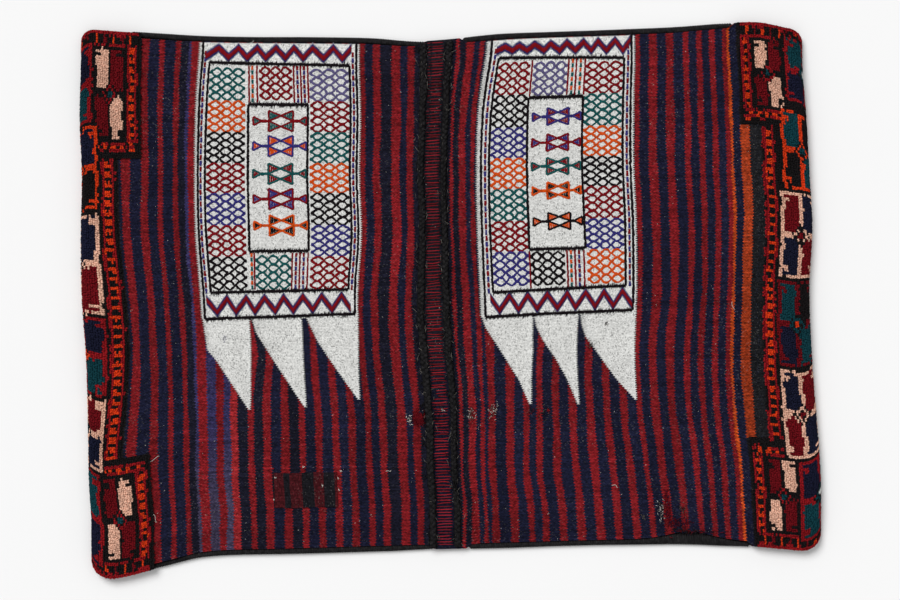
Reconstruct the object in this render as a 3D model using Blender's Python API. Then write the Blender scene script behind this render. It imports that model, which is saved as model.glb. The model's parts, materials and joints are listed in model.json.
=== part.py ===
"""Kilim saddle bag lying flat with its woven back up, in metres, +Z up.

One long strip of cloth is drawn flat, with its stripes, brocaded panels and knotted pile blocks,
and is then folded: both ends turn under the back and make the two pockets, whose mouths face
each other under the bridge. Goat hair cords close the sides, two goat hair lines cross the
bridge, and a small patch mends one pocket.

Along the strip p runs from mouth to mouth, with 0 in the middle of the back. Across it v runs
from the lower side to the upper side. The origin is on the ground under the middle of the bag.
"""
import math

import bmesh
import bpy
from mathutils import Vector
from mathutils.bvhtree import BVHTree

# Size of the bag as it lies
HALF_LENGTH = 0.678
HALF_WIDTH = 0.480
CORNER_RADIUS = 0.026

# Cloth
BACK_THICKNESS = 0.0035
FACE_THICKNESS = 0.0050
PILE_RAISE = 0.0055
BROCADE_RAISE = 0.0015
FIELD_GAP = 0.0105
FOOT_GAP = 0.0080
SIDE_GAP = 0.0013
DROOP_WIDTH = 0.060
FOLD_REACH = 0.013
MOUTH_GAP = 0.054
PILE_FACE_DEPTH = 0.150
RAMP = 0.020
RIM = 0.0025
WAVE_HEIGHT = 0.0008

# Sides of the bag as it lies: how far each stands out past HALF_WIDTH, along HALF_LENGTH
UPPER_SIDE = (
    (-1.0, 0.025), (-0.90, 0.021), (-0.68, 0.012), (-0.24, 0.008), (-0.075, 0.003),
    (0.145, 0.016), (0.583, 0.027), (0.857, 0.038), (1.0, 0.024),
)
LOWER_SIDE = (
    (-1.0, 0.038), (-0.92, 0.036), (-0.79, 0.014), (-0.68, -0.003), (-0.46, -0.0085),
    (0.034, -0.018), (0.583, -0.027), (0.80, -0.022), (1.0, -0.013),
)

# Sideways drift of the wefts, at nine places from the upper side to the lower side
DRIFT_PLACES = (0.93, 0.70, 0.467, 0.234, 0.0, -0.23, -0.463, -0.695, -0.85)
DRIFT = (
    (-1.00, (-0.013, -0.015, -0.011, -0.013, -0.011, -0.003, 0.0, 0.002, 0.0065)),
    (-0.76, (-0.020, -0.020, -0.0195, -0.0185, -0.009, -0.003, 0.0, 0.001, 0.0055)),
    (-0.17, (-0.011, -0.009, -0.011, -0.0075, -0.015, -0.011, 0.0, 0.004, 0.009)),
    (0.075, (-0.009, -0.017, -0.0195, -0.0175, -0.013, -0.0075, 0.0, 0.002, 0.0065)),
    (0.56, (-0.004, -0.0055, -0.0055, 0.001, 0.002, -0.0055, 0.0, 0.013, 0.0205)),
    (0.73, (-0.009, -0.0065, -0.0055, 0.0, -0.003, -0.0055, 0.0, 0.013, 0.017)),
    (1.00, (-0.024, -0.017, -0.011, -0.0055, -0.011, -0.0075, 0.0, 0.0085, 0.011)),
)

# Weaving plan: one letter for the yarn and its width in weaving units
LEFT_PLAN = (
    "N7 R9 N12 R8 N10 R5 N10 R5 N7 P3 R9 P9 R7 P7 R7 N10 R6 N9 R8 N10 R8 N10 R6 N10 R7 N10 "
    "R7 N9 R7 N10 R6 N8 R7 N11 R9 N7 R7 N8"
)
RIGHT_PLAN = (
    "N3 R3 N6 R7 N5 R4 N4 R7 N11 R8 N9 R6 N7 R6 N10 R7 N10 R7 N10 R8 N10 R7 N10 R7 N10 R5 N9 "
    "R8 N9 R8 N10 R6 N8 R6 N8 R6 N8 R5 O2 N9 O10 C14"
)
YARN_OF = {"N": "navy", "R": "red", "P": "plum", "O": "orange", "C": "charcoal"}
BRIDGE_LEFT = -0.044
BRIDGE_RIGHT = 0.010

# Knotted pile: depth of the band along each fold, and of the blocks at the corners
LEFT_BAND = 0.066
RIGHT_BAND = 0.091
LEFT_BLOCK = 0.118
RIGHT_BLOCK = 0.131
BLOCK_LENGTHS = {"left_upper": 0.224, "left_lower": 0.209, "right_upper": 0.188, "right_lower": 0.200}
GUARD_WIDTH = 0.024
BLOCK_LINE = 0.011
COMPARTMENTS = 6
BAR_WIDTH = 0.012
FRAME_YARNS = ("crimson", "orange", "pink", "crimson", "pink", "crimson")

# White brocaded panels
LEFT_PANEL = (-0.4575, -0.160)
RIGHT_PANEL = (0.065, 0.350)
PANEL_FOOT = -0.041
PANEL_FRAME = 0.020
LATTICE_TOP = 0.426
LATTICE_FOOT = 0.008
LATTICE_CELLS = 7
CELL_INSET = 0.005
CELL_COLUMN = 0.075
FIELD_TOP = 0.355
FIELD_FOOT = 0.077
MOTIFS = 5
MOTIF_WIDTH = 0.044
MOTIF_LENGTH = 0.038
FLAGS = 3
FLAG_LENGTH = 0.172
FLAG_GAP = 0.006
FLAG_TIP_SHIFT = 0.008
LEFT_CELLS = (
    ("teal", "orange", "black", "crimson", "navy", "red", "black"),
    ("plum", "red", "teal", "orange", "black", "blue", "red"),
)
RIGHT_CELLS = (
    ("red", "black", "blue", "orange", "teal", "red", "blue"),
    ("red", "teal", "orange", "black", "red", "blue", "orange"),
)
LEFT_MOTIFS = ("teal", "orange", "red", "blue", "black")
RIGHT_MOTIFS = ("red", "blue", "red", "black", "orange")

# Cords and lines of goat hair, the patch and the closing slits
CORD_WIDTH = 0.0090
CORD_HEIGHT = 0.0096
CORD_SIDES = 8
CORD_CLEARANCE = 0.0004
LEFT_CORD = (-0.845, -0.070)
RIGHT_CORD = (0.050, 0.780)
CORD_END_STEP = 0.012
BRAIDS = {"left": (-0.043, 0.016), "right": (0.0035, 0.012)}
BRAID_HEIGHT = 0.003
BRAID_STEP = 0.11
BRAID_CLEARANCE = 0.0005
# Middle of the patch, as shares of HALF_LENGTH and HALF_WIDTH
PATCH_MIDDLE = (-0.4086, -0.7542)
PATCH_SIZE = (0.118, 0.065)
PATCH_THICKNESS = 0.0014
PATCH_CLEARANCE = 0.0005
SLITS = 9
SLIT_LENGTH = 0.045
SLIT_WIDTH = 0.0025
SLIT_FROM_MOUTH = 0.014

# Fineness of the mesh
ROW_PLACES = (1.0, 0.965, 0.89, 0.63, 0.38, 0.125)
FOLD_STEPS = 6
STATION_STEP = 0.035
FACE_STRIPE = 0.070

FOLD_START = HALF_LENGTH - FOLD_REACH
FOLD_LENGTH = math.pi * FOLD_REACH
FACE_START = FOLD_START + FOLD_LENGTH
STRIP_END = FACE_START + FOLD_START - MOUTH_GAP / 2
PILE_THICKNESS = BACK_THICKNESS + PILE_RAISE


def clear_scene():
    for thing in list(bpy.data.objects):
        bpy.data.objects.remove(thing)


def linear(level):
    level /= 255
    return level / 12.92 if level <= 0.04045 else ((level + 0.055) / 1.055) ** 2.4


def yarn_material(name, colour, roughness=0.9):
    material = bpy.data.materials.new(name)
    material.use_nodes = True
    shader = material.node_tree.nodes["Principled BSDF"]
    shader.inputs["Base Color"].default_value = (*(linear(level) for level in colour), 1)
    shader.inputs["Roughness"].default_value = roughness
    shader.inputs["Metallic"].default_value = 0
    return material


YARN_COLOURS = {
    "red": (112, 24, 27),
    "navy": (25, 25, 42),
    "plum": (52, 49, 74),
    "charcoal": (27, 26, 30),
    "black": (31, 27, 28),
    "white": (205, 205, 203),
    "orange": (150, 44, 22),
    "teal": (21, 62, 70),
    "blue": (40, 52, 92),
    "pink": (193, 150, 130),
    "crimson": (95, 15, 20),
}
YARNS = list(YARN_COLOURS)


def blend(low, high, value):
    share = min(1.0, max(0.0, (value - low) / (high - low)))
    return share * share * (3 - 2 * share)


def follow(points, place):
    """Value at a place on the smooth curve through (place, value) points."""
    places = [point[0] for point in points]
    values = [point[1] for point in points]
    if place <= places[0]:
        return values[0]
    if place >= places[-1]:
        return values[-1]
    k = max(i for i in range(len(places) - 1) if places[i] <= place)
    span = places[k + 1] - places[k]

    def slope(i):
        if i in (0, len(places) - 1):
            return 0.0
        return (values[i + 1] - values[i - 1]) / (places[i + 1] - places[i - 1])

    t = (place - places[k]) / span
    rise = (2 * t**3 - 3 * t**2 + 1) * values[k] + (3 * t**2 - 2 * t**3) * values[k + 1]
    lean = (t**3 - 2 * t**2 + t) * slope(k) + (t**3 - t**2) * slope(k + 1)
    return rise + span * lean


def drift(along, across):
    """Sideways drift of the cloth at shares of HALF_LENGTH and HALF_WIDTH."""
    down = tuple(reversed(DRIFT_PLACES))
    columns = [(at, follow(tuple(zip(down, reversed(values))), across)) for at, values in DRIFT]
    return follow(columns, along)


def cord_inset(along):
    """How far the cloth stops short of the outline, to leave room for the side cords."""
    room = CORD_WIDTH + CORD_CLEARANCE
    near = 0
    for low, high in (LEFT_CORD, RIGHT_CORD):
        near += blend(low - CORD_END_STEP, low, along) * (1 - blend(high, high + CORD_END_STEP, along))
    return room * near


def place(x, v, inset=0.0):
    """Where the point x along and v across the lying cloth is, seen from above."""
    along = x / HALF_LENGTH
    upper = HALF_WIDTH + follow(UPPER_SIDE, along) - inset
    lower = HALF_WIDTH + follow(LOWER_SIDE, along) - inset
    past = min(CORNER_RADIUS, max(0.0, abs(x) - (HALF_LENGTH - CORNER_RADIUS)))
    rounding = CORNER_RADIUS - math.sqrt(CORNER_RADIUS**2 - past**2)
    middle = (upper - lower) / 2
    half = (upper + lower) / 2 - rounding
    share = v / HALF_WIDTH
    return x + drift(along, share), middle + share * half


def inside(box, p, v):
    """Distance from the nearest side of a (low p, low v, high p, high v) box, negative outside."""
    return min(p - box[0], v - box[1], box[2] - p, box[3] - v)


FAR = 2 * HALF_LENGTH
PILE_BOXES = {
    "left_band": (-FAR, -FAR, -(HALF_LENGTH - LEFT_BAND), FAR),
    "right_band": (HALF_LENGTH - RIGHT_BAND, -FAR, FAR, FAR),
    "left_upper": (-FAR, HALF_WIDTH - BLOCK_LENGTHS["left_upper"], -(HALF_LENGTH - LEFT_BLOCK), FAR),
    "left_lower": (-FAR, -FAR, -(HALF_LENGTH - LEFT_BLOCK), BLOCK_LENGTHS["left_lower"] - HALF_WIDTH),
    "right_upper": (HALF_LENGTH - RIGHT_BLOCK, HALF_WIDTH - BLOCK_LENGTHS["right_upper"], FAR, FAR),
    "right_lower": (HALF_LENGTH - RIGHT_BLOCK, -FAR, FAR, BLOCK_LENGTHS["right_lower"] - HALF_WIDTH),
}
BLOCKS = [name for name in PILE_BOXES if "band" not in name]
PANELS = {
    "left": (LEFT_PANEL[0], PANEL_FOOT, LEFT_PANEL[1], FAR),
    "right": (RIGHT_PANEL[0], PANEL_FOOT, RIGHT_PANEL[1], FAR),
}


def flag_corners(panel):
    """Corners of the white flags that hang from a panel's foot: two on the foot and the tip."""
    low, foot, high, _ = panel
    pitch = (high - low + FLAG_GAP) / FLAGS
    flags = []
    for n in range(FLAGS):
        start = low + n * pitch
        end = start + pitch - FLAG_GAP
        flags.append(((start, foot), (end, foot), (end - FLAG_TIP_SHIFT, foot - FLAG_LENGTH)))
    return flags


def inside_flag(flag, p, v):
    """Distance from the nearest edge of a flag, negative outside."""
    depth = flag[0][1] - v
    for (p0, v0), (p1, v1) in ((flag[1], flag[2]), (flag[2], flag[0])):
        run = math.hypot(p1 - p0, v1 - v0)
        depth = min(depth, ((p0 - p) * (v0 - v1) - (v0 - v) * (p0 - p1)) / run)
    return depth


def relief(p, v):
    """How far the pile and the brocade stand above the striped ground."""
    pile = max(inside(box, p, v) for box in PILE_BOXES.values())
    brocade = max(inside(box, p, v) for box in PANELS.values())
    for panel in PANELS.values():
        for flag in flag_corners(panel):
            brocade = max(brocade, inside_flag(flag, p, v))
    raised = PILE_RAISE * min(1.0, max(0.0, pile / RIM))
    return max(raised, BROCADE_RAISE * min(1.0, max(0.0, brocade / RIM)))


def footward(x):
    """0 over the upper part of a pocket, 1 over its pile-faced foot."""
    return blend(FOLD_START - PILE_FACE_DEPTH - RAMP, FOLD_START - PILE_FACE_DEPTH, abs(x))


def face_thickness(x):
    """Thickness of the hidden face layer, thicker where it carries pile."""
    return FACE_THICKNESS + (PILE_THICKNESS - FACE_THICKNESS) * footward(x)


def layer_gap(x, v):
    """Room inside the pocket between the face and the back."""
    settle = blend(0, DROOP_WIDTH, HALF_WIDTH - abs(v))
    wave = WAVE_HEIGHT * math.sin(9.5 * x + 1.3) * math.sin(7.0 * v + 0.6)
    wave += 0.6 * WAVE_HEIGHT * math.sin(17 * x - 11 * v)
    full = FIELD_GAP + (FOOT_GAP - FIELD_GAP) * footward(x)
    return SIDE_GAP + (full + wave - SIDE_GAP) * settle


def lay(p, v, outer):
    """Point of the folded strip for a point of the flat one, on its outer or inner side."""
    side = math.copysign(1, p)
    run = abs(p)
    if run <= FOLD_START:
        x = p
        z = face_thickness(x) + layer_gap(x, v)
        if outer:
            z += BACK_THICKNESS + relief(p, v)
    elif run < FACE_START:
        angle = (run - FOLD_START) / FOLD_REACH
        gap = layer_gap(side * FOLD_START, v)
        reach = FOLD_REACH if outer else FOLD_REACH - PILE_THICKNESS
        half = gap / 2 + (PILE_THICKNESS if outer else 0)
        x = side * (FOLD_START + reach * math.sin(angle))
        z = PILE_THICKNESS + gap / 2 + half * math.cos(angle)
    else:
        x = side * (FOLD_START - (run - FACE_START))
        z = 0.0 if outer else face_thickness(x)
    at_side = abs(v) > HALF_WIDTH * 0.999
    return Vector((*place(x, v, cord_inset(x / HALF_LENGTH) if at_side else 0.0), z))


def stripes():
    """(start, end, yarn) of each stripe of the back, from the left pile band to the right one."""
    out = []
    fields = (
        (LEFT_PLAN, -(HALF_LENGTH - LEFT_BAND), BRIDGE_LEFT),
        (RIGHT_PLAN, BRIDGE_RIGHT, HALF_LENGTH - RIGHT_BAND),
    )
    for plan, low, high in fields:
        words = plan.split()
        unit = (high - low) / sum(int(word[1:]) for word in words)
        at = low
        for word in words:
            end = at + unit * int(word[1:])
            out.append((at, end, YARN_OF[word[0]]))
            at = end
    return out


def steps(low, high, most):
    count = max(1, math.ceil((high - low) / most))
    return [low + (high - low) * n / count for n in range(count + 1)]


def distinct(values):
    """The values in order, without those that lie within a tenth of a millimetre of the last."""
    kept = []
    for value in sorted(values):
        if not kept or value - kept[-1] > 0.0001:
            kept.append(value)
    return kept


def mirrored(values):
    positive = distinct(abs(value) for value in values)
    return distinct([-value for value in positive] + positive)


def stations():
    """Distances from the middle at which both layers of a pocket are shaped."""
    ramp_start = FOLD_START - PILE_FACE_DEPTH - RAMP
    places = steps(MOUTH_GAP / 2, ramp_start, STATION_STEP) + [ramp_start + RAMP / 2]
    places += steps(ramp_start + RAMP, FOLD_START, STATION_STEP)
    cord_ends = [abs(place) for place in cord_end_columns()]
    return places + [place for place in cord_ends if MOUTH_GAP / 2 < place < FOLD_START]


def cord_end_columns():
    """Where the cloth's side steps in to make room for a cord."""
    columns = set()
    for low, high in (LEFT_CORD, RIGHT_CORD):
        for share in (low - CORD_END_STEP, low, high, high + CORD_END_STEP):
            columns.add(share * HALF_LENGTH)
    return columns


def fold_and_face_columns():
    fold = [FOLD_START + FOLD_LENGTH * n / FOLD_STEPS for n in range(FOLD_STEPS + 1)]
    face = [FACE_START + FOLD_START - place for place in stations()]
    return fold + face


def outer_columns():
    columns = {edge for start, end, _ in stripes() for edge in (start, end)}
    for depth, side in ((LEFT_BAND, -1), (RIGHT_BAND, 1)):
        border = HALF_LENGTH - depth
        columns |= {side * border, side * (border + RIM), side * (border + RIM + GUARD_WIDTH)}
    return distinct(columns | cord_end_columns() | set(mirrored(fold_and_face_columns())))


def inner_columns():
    return mirrored([0] + stations() + fold_and_face_columns())


def grid(bm, columns):
    rows = [v * HALF_WIDTH for v in mirrored(ROW_PLACES)]
    verts = [[bm.verts.new((p, v, 0)) for v in rows] for p in columns]
    for left, right in zip(verts, verts[1:]):
        for k in range(len(rows) - 1):
            bm.faces.new((left[k], right[k], right[k + 1], left[k + 1]))
    return verts


def touching(bm, box):
    """Faces of the flat cloth that reach into a box."""
    found = []
    for face in bm.faces:
        ps = [vert.co.x for vert in face.verts]
        vs = [vert.co.y for vert in face.verts]
        grain = 1e-6
        if min(ps) < box[2] - grain and max(ps) > box[0] + grain:
            if min(vs) < box[3] - grain and max(vs) > box[1] + grain:
                found.append(face)
    return found


def score(bm, box, point, normal):
    """Cut the faces that reach into a box along the line through a point."""
    faces = touching(bm, box)
    parts = faces + list({edge for face in faces for edge in face.edges})
    parts += list({vert for face in faces for vert in face.verts})
    bmesh.ops.bisect_plane(bm, geom=parts, dist=1e-5, plane_co=(*point, 0), plane_no=(*normal, 0))


def score_box(bm, box):
    """Cut the outline of a box into the flat cloth."""
    for value, normal in ((box[0], (1, 0)), (box[2], (1, 0)), (box[1], (0, 1)), (box[3], (0, 1))):
        score(bm, box, (value, value), normal)


def clear_box(bm, box):
    """Take the stripe edges out of a box, and keep the rows of the drape."""
    inner = []
    for edge in bm.edges:
        middle = (edge.verts[0].co + edge.verts[1].co) / 2
        upright = abs(edge.verts[0].co.x - edge.verts[1].co.x) < 1e-6
        if upright and not edge.is_boundary and inside(box, middle.x, middle.y) > 1e-5:
            inner.append(edge)
    bmesh.ops.dissolve_edges(bm, edges=inner, use_verts=False)


def shrink(box, by):
    return (box[0] + by, box[1] + by, box[2] - by, box[3] - by)


def lattice_box(panel, column, cell):
    """Inside of a lattice cell, in the left or right column of a panel."""
    low, _, high, _ = panel
    start = low + PANEL_FRAME if column == 0 else high - PANEL_FRAME - CELL_COLUMN
    pitch = (LATTICE_TOP - LATTICE_FOOT) / LATTICE_CELLS
    top = LATTICE_TOP - cell * pitch
    return shrink((start, top - pitch, start + CELL_COLUMN, top), CELL_INSET)


def centre_boxes(panel):
    """The two cells above and below the motifs."""
    low = panel[0] + PANEL_FRAME + CELL_COLUMN + 2 * CELL_INSET
    high = panel[2] - PANEL_FRAME - CELL_COLUMN - 2 * CELL_INSET
    pitch = (LATTICE_TOP - LATTICE_FOOT) / LATTICE_CELLS
    upper = (low, LATTICE_TOP - pitch + CELL_INSET, high, LATTICE_TOP - CELL_INSET)
    lower = (low, LATTICE_FOOT + CELL_INSET, high, LATTICE_FOOT + pitch - CELL_INSET)
    return upper, lower


def motif_box(panel, n):
    middle = (panel[0] + panel[2]) / 2
    pitch = (FIELD_TOP - FIELD_FOOT) / MOTIFS
    at = FIELD_TOP - pitch * (n + 0.5)
    return (middle - MOTIF_WIDTH / 2, at - MOTIF_LENGTH / 2, middle + MOTIF_WIDTH / 2, at + MOTIF_LENGTH / 2)


def draw_panel(bm, panel):
    """Cut a brocaded panel, its cells, its motifs and its flags into the flat cloth."""
    panel = (panel[0], panel[1], panel[2], HALF_WIDTH)
    rim = (panel[0] + RIM, panel[1] + RIM, panel[2] - RIM, HALF_WIDTH)
    score_box(bm, panel)
    clear_box(bm, panel)
    score_box(bm, rim)
    for column in range(2):
        for cell in range(LATTICE_CELLS):
            score_box(bm, lattice_box(panel, column, cell))
    for box in centre_boxes(panel):
        score_box(bm, box)
    for n in range(MOTIFS):
        box = motif_box(panel, n)
        score_box(bm, box)
        centre = ((box[0] + box[2]) / 2, (box[1] + box[3]) / 2)
        within = shrink(box, RIM / 10)
        score(bm, within, centre, (MOTIF_LENGTH, MOTIF_WIDTH))
        score(bm, within, centre, (MOTIF_LENGTH, -MOTIF_WIDTH))
    for start, end, tip in flag_corners(panel):
        box = (start[0], tip[1], end[0], start[1])
        score_box(bm, box)
        clear_box(bm, box)
        for corner in (start, end):
            normal = Vector((corner[1] - tip[1], tip[0] - corner[0])).normalized()
            score(bm, shrink(box, RIM / 10), corner, normal)
            middle = (box[0] + box[2]) / 2
            inward = normal * math.copysign(RIM, normal.x * (middle - corner[0]))
            score(bm, shrink(box, RIM / 10), (corner[0] + inward.x, corner[1] + inward.y), normal)


def compartment_rows():
    """(low v, high v, number) of the compartments along a fold, from the upper side down."""
    pitch = 2 * HALF_WIDTH / COMPARTMENTS
    return [(HALF_WIDTH - pitch * (n + 1), HALF_WIDTH - pitch * n, n) for n in range(COMPARTMENTS)]


def draw_pile(bm):
    """Cut the corner blocks and the compartments of the pile into the flat cloth."""
    for name in BLOCKS:
        block = PILE_BOXES[name]
        cloth = (max(block[0], -FOLD_START), max(block[1], -HALF_WIDTH),
                 min(block[2], FOLD_START), min(block[3], HALF_WIDTH))
        score_box(bm, cloth)
        clear_box(bm, cloth)
        for value in (cloth[0], cloth[2]):
            if abs(value) < FOLD_START:
                inward = math.copysign(1, value)
                for depth in (RIM, BLOCK_LINE, BLOCK_LINE + GUARD_WIDTH):
                    score(bm, cloth, (value + inward * depth, 0), (1, 0))
        for value in (cloth[1], cloth[3]):
            if abs(value) < HALF_WIDTH:
                inward = math.copysign(1, value)
                for depth in (RIM, BLOCK_LINE, BLOCK_LINE + GUARD_WIDTH):
                    score(bm, cloth, (0, value + inward * depth), (0, 1))
    for depth, side in ((LEFT_BAND, -1), (RIGHT_BAND, 1)):
        start = HALF_LENGTH - depth + RIM + GUARD_WIDTH
        ends = sorted((side * start, side * FACE_START))
        for low, high, _ in compartment_rows():
            for v in (low + BAR_WIDTH, (low + high) / 2, high - BAR_WIDTH):
                box = (ends[0], v - BAR_WIDTH / 2, ends[1], v + BAR_WIDTH / 2)
                score(bm, box, (0, v), (0, 1))


def pile_yarn(p, v):
    """Yarn of the knots at a point of the pile."""
    depth = LEFT_BAND if p < 0 else RIGHT_BAND
    for name in BLOCKS:
        edge = inside(PILE_BOXES[name], p, v)
        if edge > 0:
            if edge < BLOCK_LINE:
                return "black"
            if edge < BLOCK_LINE + GUARD_WIDTH:
                return "orange"
    inward = abs(p) - (HALF_LENGTH - depth)
    if 0 < inward < RIM:
        return "black"
    if 0 < inward < RIM + GUARD_WIDTH and not any(inside(PILE_BOXES[name], p, v) > 0 for name in BLOCKS):
        return "orange"
    for low, high, n in compartment_rows():
        if low <= v <= high:
            if v > high - BAR_WIDTH or v < low + BAR_WIDTH:
                return FRAME_YARNS[n]
            upper_half = v > (low + high) / 2
            return ("teal", "navy", "crimson", "navy", "teal", "crimson")[n] if upper_half else "black"
    return "black"


def yarn_at(p, v):
    """Yarn that shows at a point of the flat strip's outer side."""
    run = abs(p)
    if run > FACE_START + PILE_FACE_DEPTH:
        return "red" if int((run - FACE_START) / FACE_STRIPE) % 2 else "navy"
    if max(inside(box, p, v) for box in PILE_BOXES.values()) > 0:
        return pile_yarn(p, v)
    for panel, cells, motifs in ((PANELS["left"], LEFT_CELLS, LEFT_MOTIFS),
                                 (PANELS["right"], RIGHT_CELLS, RIGHT_MOTIFS)):
        if inside(panel, p, v) > 0:
            return panel_yarn(panel, cells, motifs, p, v)
        if any(inside_flag(flag, p, v) > 0 for flag in flag_corners(panel)):
            return "white"
    for start, end, yarn in stripes():
        if start <= p < end:
            return yarn
    return "navy"


def panel_yarn(panel, cells, motifs, p, v):
    for column in range(2):
        for cell in range(LATTICE_CELLS):
            if inside(lattice_box(panel, column, cell), p, v) > 0:
                return cells[column][cell]
    upper, lower = centre_boxes(panel)
    if inside(upper, p, v) > 0:
        return motifs[0]
    if inside(lower, p, v) > 0:
        return motifs[1]
    for n in range(MOTIFS):
        box = motif_box(panel, n)
        if inside(box, p, v) > 0:
            beside = abs(p - (box[0] + box[2]) / 2) / MOTIF_WIDTH
            above = abs(v - (box[1] + box[3]) / 2) / MOTIF_LENGTH
            return motifs[n] if beside > above else "white"
    return "white"


def zip_edges(bm, outer, inner, key):
    """Close an edge of the cloth between its outer and its inner side."""
    outer = sorted(outer, key=key)
    inner = sorted(inner, key=key)
    i = j = 0
    while i < len(outer) - 1 or j < len(inner) - 1:
        outer_next = i < len(outer) - 1
        if outer_next and j < len(inner) - 1:
            outer_next = key(outer[i + 1]) <= key(inner[j + 1])
        if outer_next:
            bm.faces.new((outer[i], outer[i + 1], inner[j]))
            i += 1
        else:
            bm.faces.new((outer[i], inner[j + 1], inner[j]))
            j += 1


def edge_verts(verts, axis, value):
    return [vert for vert in verts if abs(vert.co[axis] - value) < 1e-5]


def make_object(name, bm, materials):
    bmesh.ops.recalc_face_normals(bm, faces=bm.faces)
    mesh = bpy.data.meshes.new(name)
    bm.to_mesh(mesh)
    bm.free()
    for material in materials:
        mesh.materials.append(material)
    thing = bpy.data.objects.new(name, mesh)
    bpy.context.scene.collection.objects.link(thing)
    return thing


def weave_strip(materials):
    """The whole cloth: drawn flat, cut into fields of yarn, closed at its edges and folded."""
    bm = bmesh.new()
    grid(bm, outer_columns())
    for panel in PANELS.values():
        draw_panel(bm, panel)
    draw_pile(bm)
    for face in bm.faces:
        centre = face.calc_center_median()
        face.material_index = YARNS.index(yarn_at(centre.x, centre.y))
    outer = list(bm.verts)
    inner = [vert for column in grid(bm, inner_columns()) for vert in column]
    for axis, value in ((0, -STRIP_END), (0, STRIP_END), (1, -HALF_WIDTH), (1, HALF_WIDTH)):
        across = 1 - axis
        zip_edges(bm, edge_verts(outer, axis, value), edge_verts(inner, axis, value),
                  lambda vert, across=across: vert.co[across])
    for verts, is_outer in ((outer, True), (inner, False)):
        for vert in verts:
            vert.co = lay(vert.co.x, vert.co.y, is_outer)
    return make_object("woven_strip", bm, materials)


def slit_cutter():
    """Blocks that cut the closing slits through both faces, beside the mouths."""
    bm = bmesh.new()
    reach = FACE_THICKNESS + FIELD_GAP / 3
    for side in (-1, 1):
        x = side * (MOUTH_GAP / 2 + SLIT_FROM_MOUTH + SLIT_LENGTH / 2)
        for n in range(SLITS):
            v = HALF_WIDTH * (2 * (n + 0.5) / SLITS - 1)
            at = place(x, v)
            block = bmesh.ops.create_cube(bm, size=1)["verts"]
            bmesh.ops.scale(bm, vec=(SLIT_LENGTH, SLIT_WIDTH, 2 * reach), verts=block)
            bmesh.ops.translate(bm, vec=(at[0], at[1], 0), verts=block)
    cutter = make_object("slit_cutter", bm, ())
    cutter.hide_render = True
    cutter.display_type = "WIRE"
    return cutter


def cut_slits(strip):
    modifier = strip.modifiers.new("closing slits", "BOOLEAN")
    modifier.operation = "DIFFERENCE"
    modifier.solver = "EXACT"
    modifier.object = slit_cutter()


def loft(name, rings, material):
    """Closed solid through rings of the same number of points."""
    bm = bmesh.new()
    loops = [[bm.verts.new(point) for point in ring] for ring in rings]
    for first, second in zip(loops, loops[1:]):
        for k in range(len(first)):
            n = (k + 1) % len(first)
            bm.faces.new((first[k], first[n], second[n], second[k]))
    bm.faces.new(loops[0])
    bm.faces.new(reversed(loops[-1]))
    return make_object(name, bm, (material,))


def side_cord(name, span, side, material):
    """Overcast goat hair cord along one side of a pocket."""
    low, high = (end * HALF_LENGTH for end in span)
    between = [x for x in inner_columns() if low + CORD_WIDTH < x < high - CORD_WIDTH]
    places = [low, *between, high]
    rings = []
    for n, x in enumerate(places):
        taper = 0.45 if n in (0, len(places) - 1) else 1.0
        edge = place(x, side * HALF_WIDTH)
        centre_y = edge[1] - side * CORD_WIDTH / 2
        ring = []
        for k in range(CORD_SIDES):
            turn = 2 * math.pi * (k + 0.5) / CORD_SIDES
            y = centre_y + taper * CORD_WIDTH / 2 * math.cos(turn)
            z = CORD_HEIGHT / 2 * (1 + taper * math.sin(turn))
            ring.append((edge[0], y, z))
        rings.append(ring)
    return loft(name, rings, material)


def ground_height(tree, x, y):
    """Height of the cloth's upper side at a point."""
    return tree.ray_cast(Vector((x, y, 1)), Vector((0, 0, -1)))[0].z


def bridge_braid(name, middle, width, tree, material):
    """Line of goat hair stitches that crosses the bridge from side to side."""
    end = 1 - (CORD_WIDTH + 2 * CORD_CLEARANCE) / HALF_WIDTH
    drape_rows = [share for share in mirrored(ROW_PLACES) if abs(share) < end]
    rows = [share * HALF_WIDTH for share in sorted(drape_rows + steps(-end, end, BRAID_STEP))]
    rings = []
    for n, v in enumerate(rows):
        taper = 0.6 if n in (0, len(rows) - 1) else 1.0
        edge = [place(middle + taper * width * share, v) for share in (-0.5, 0.5)]
        beds = [ground_height(tree, *point) + BRAID_CLEARANCE for point in edge]
        ring = []
        for share, rise in ((0, 0), (1, 0), (0.85, 0.65), (0.5, 1), (0.15, 0.65)):
            x = edge[0][0] + share * (edge[1][0] - edge[0][0])
            bed = max(beds)
            ring.append((x, edge[0][1], bed + rise * taper * BRAID_HEIGHT))
        rings.append(ring)
    return loft(name, rings, material)


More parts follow.
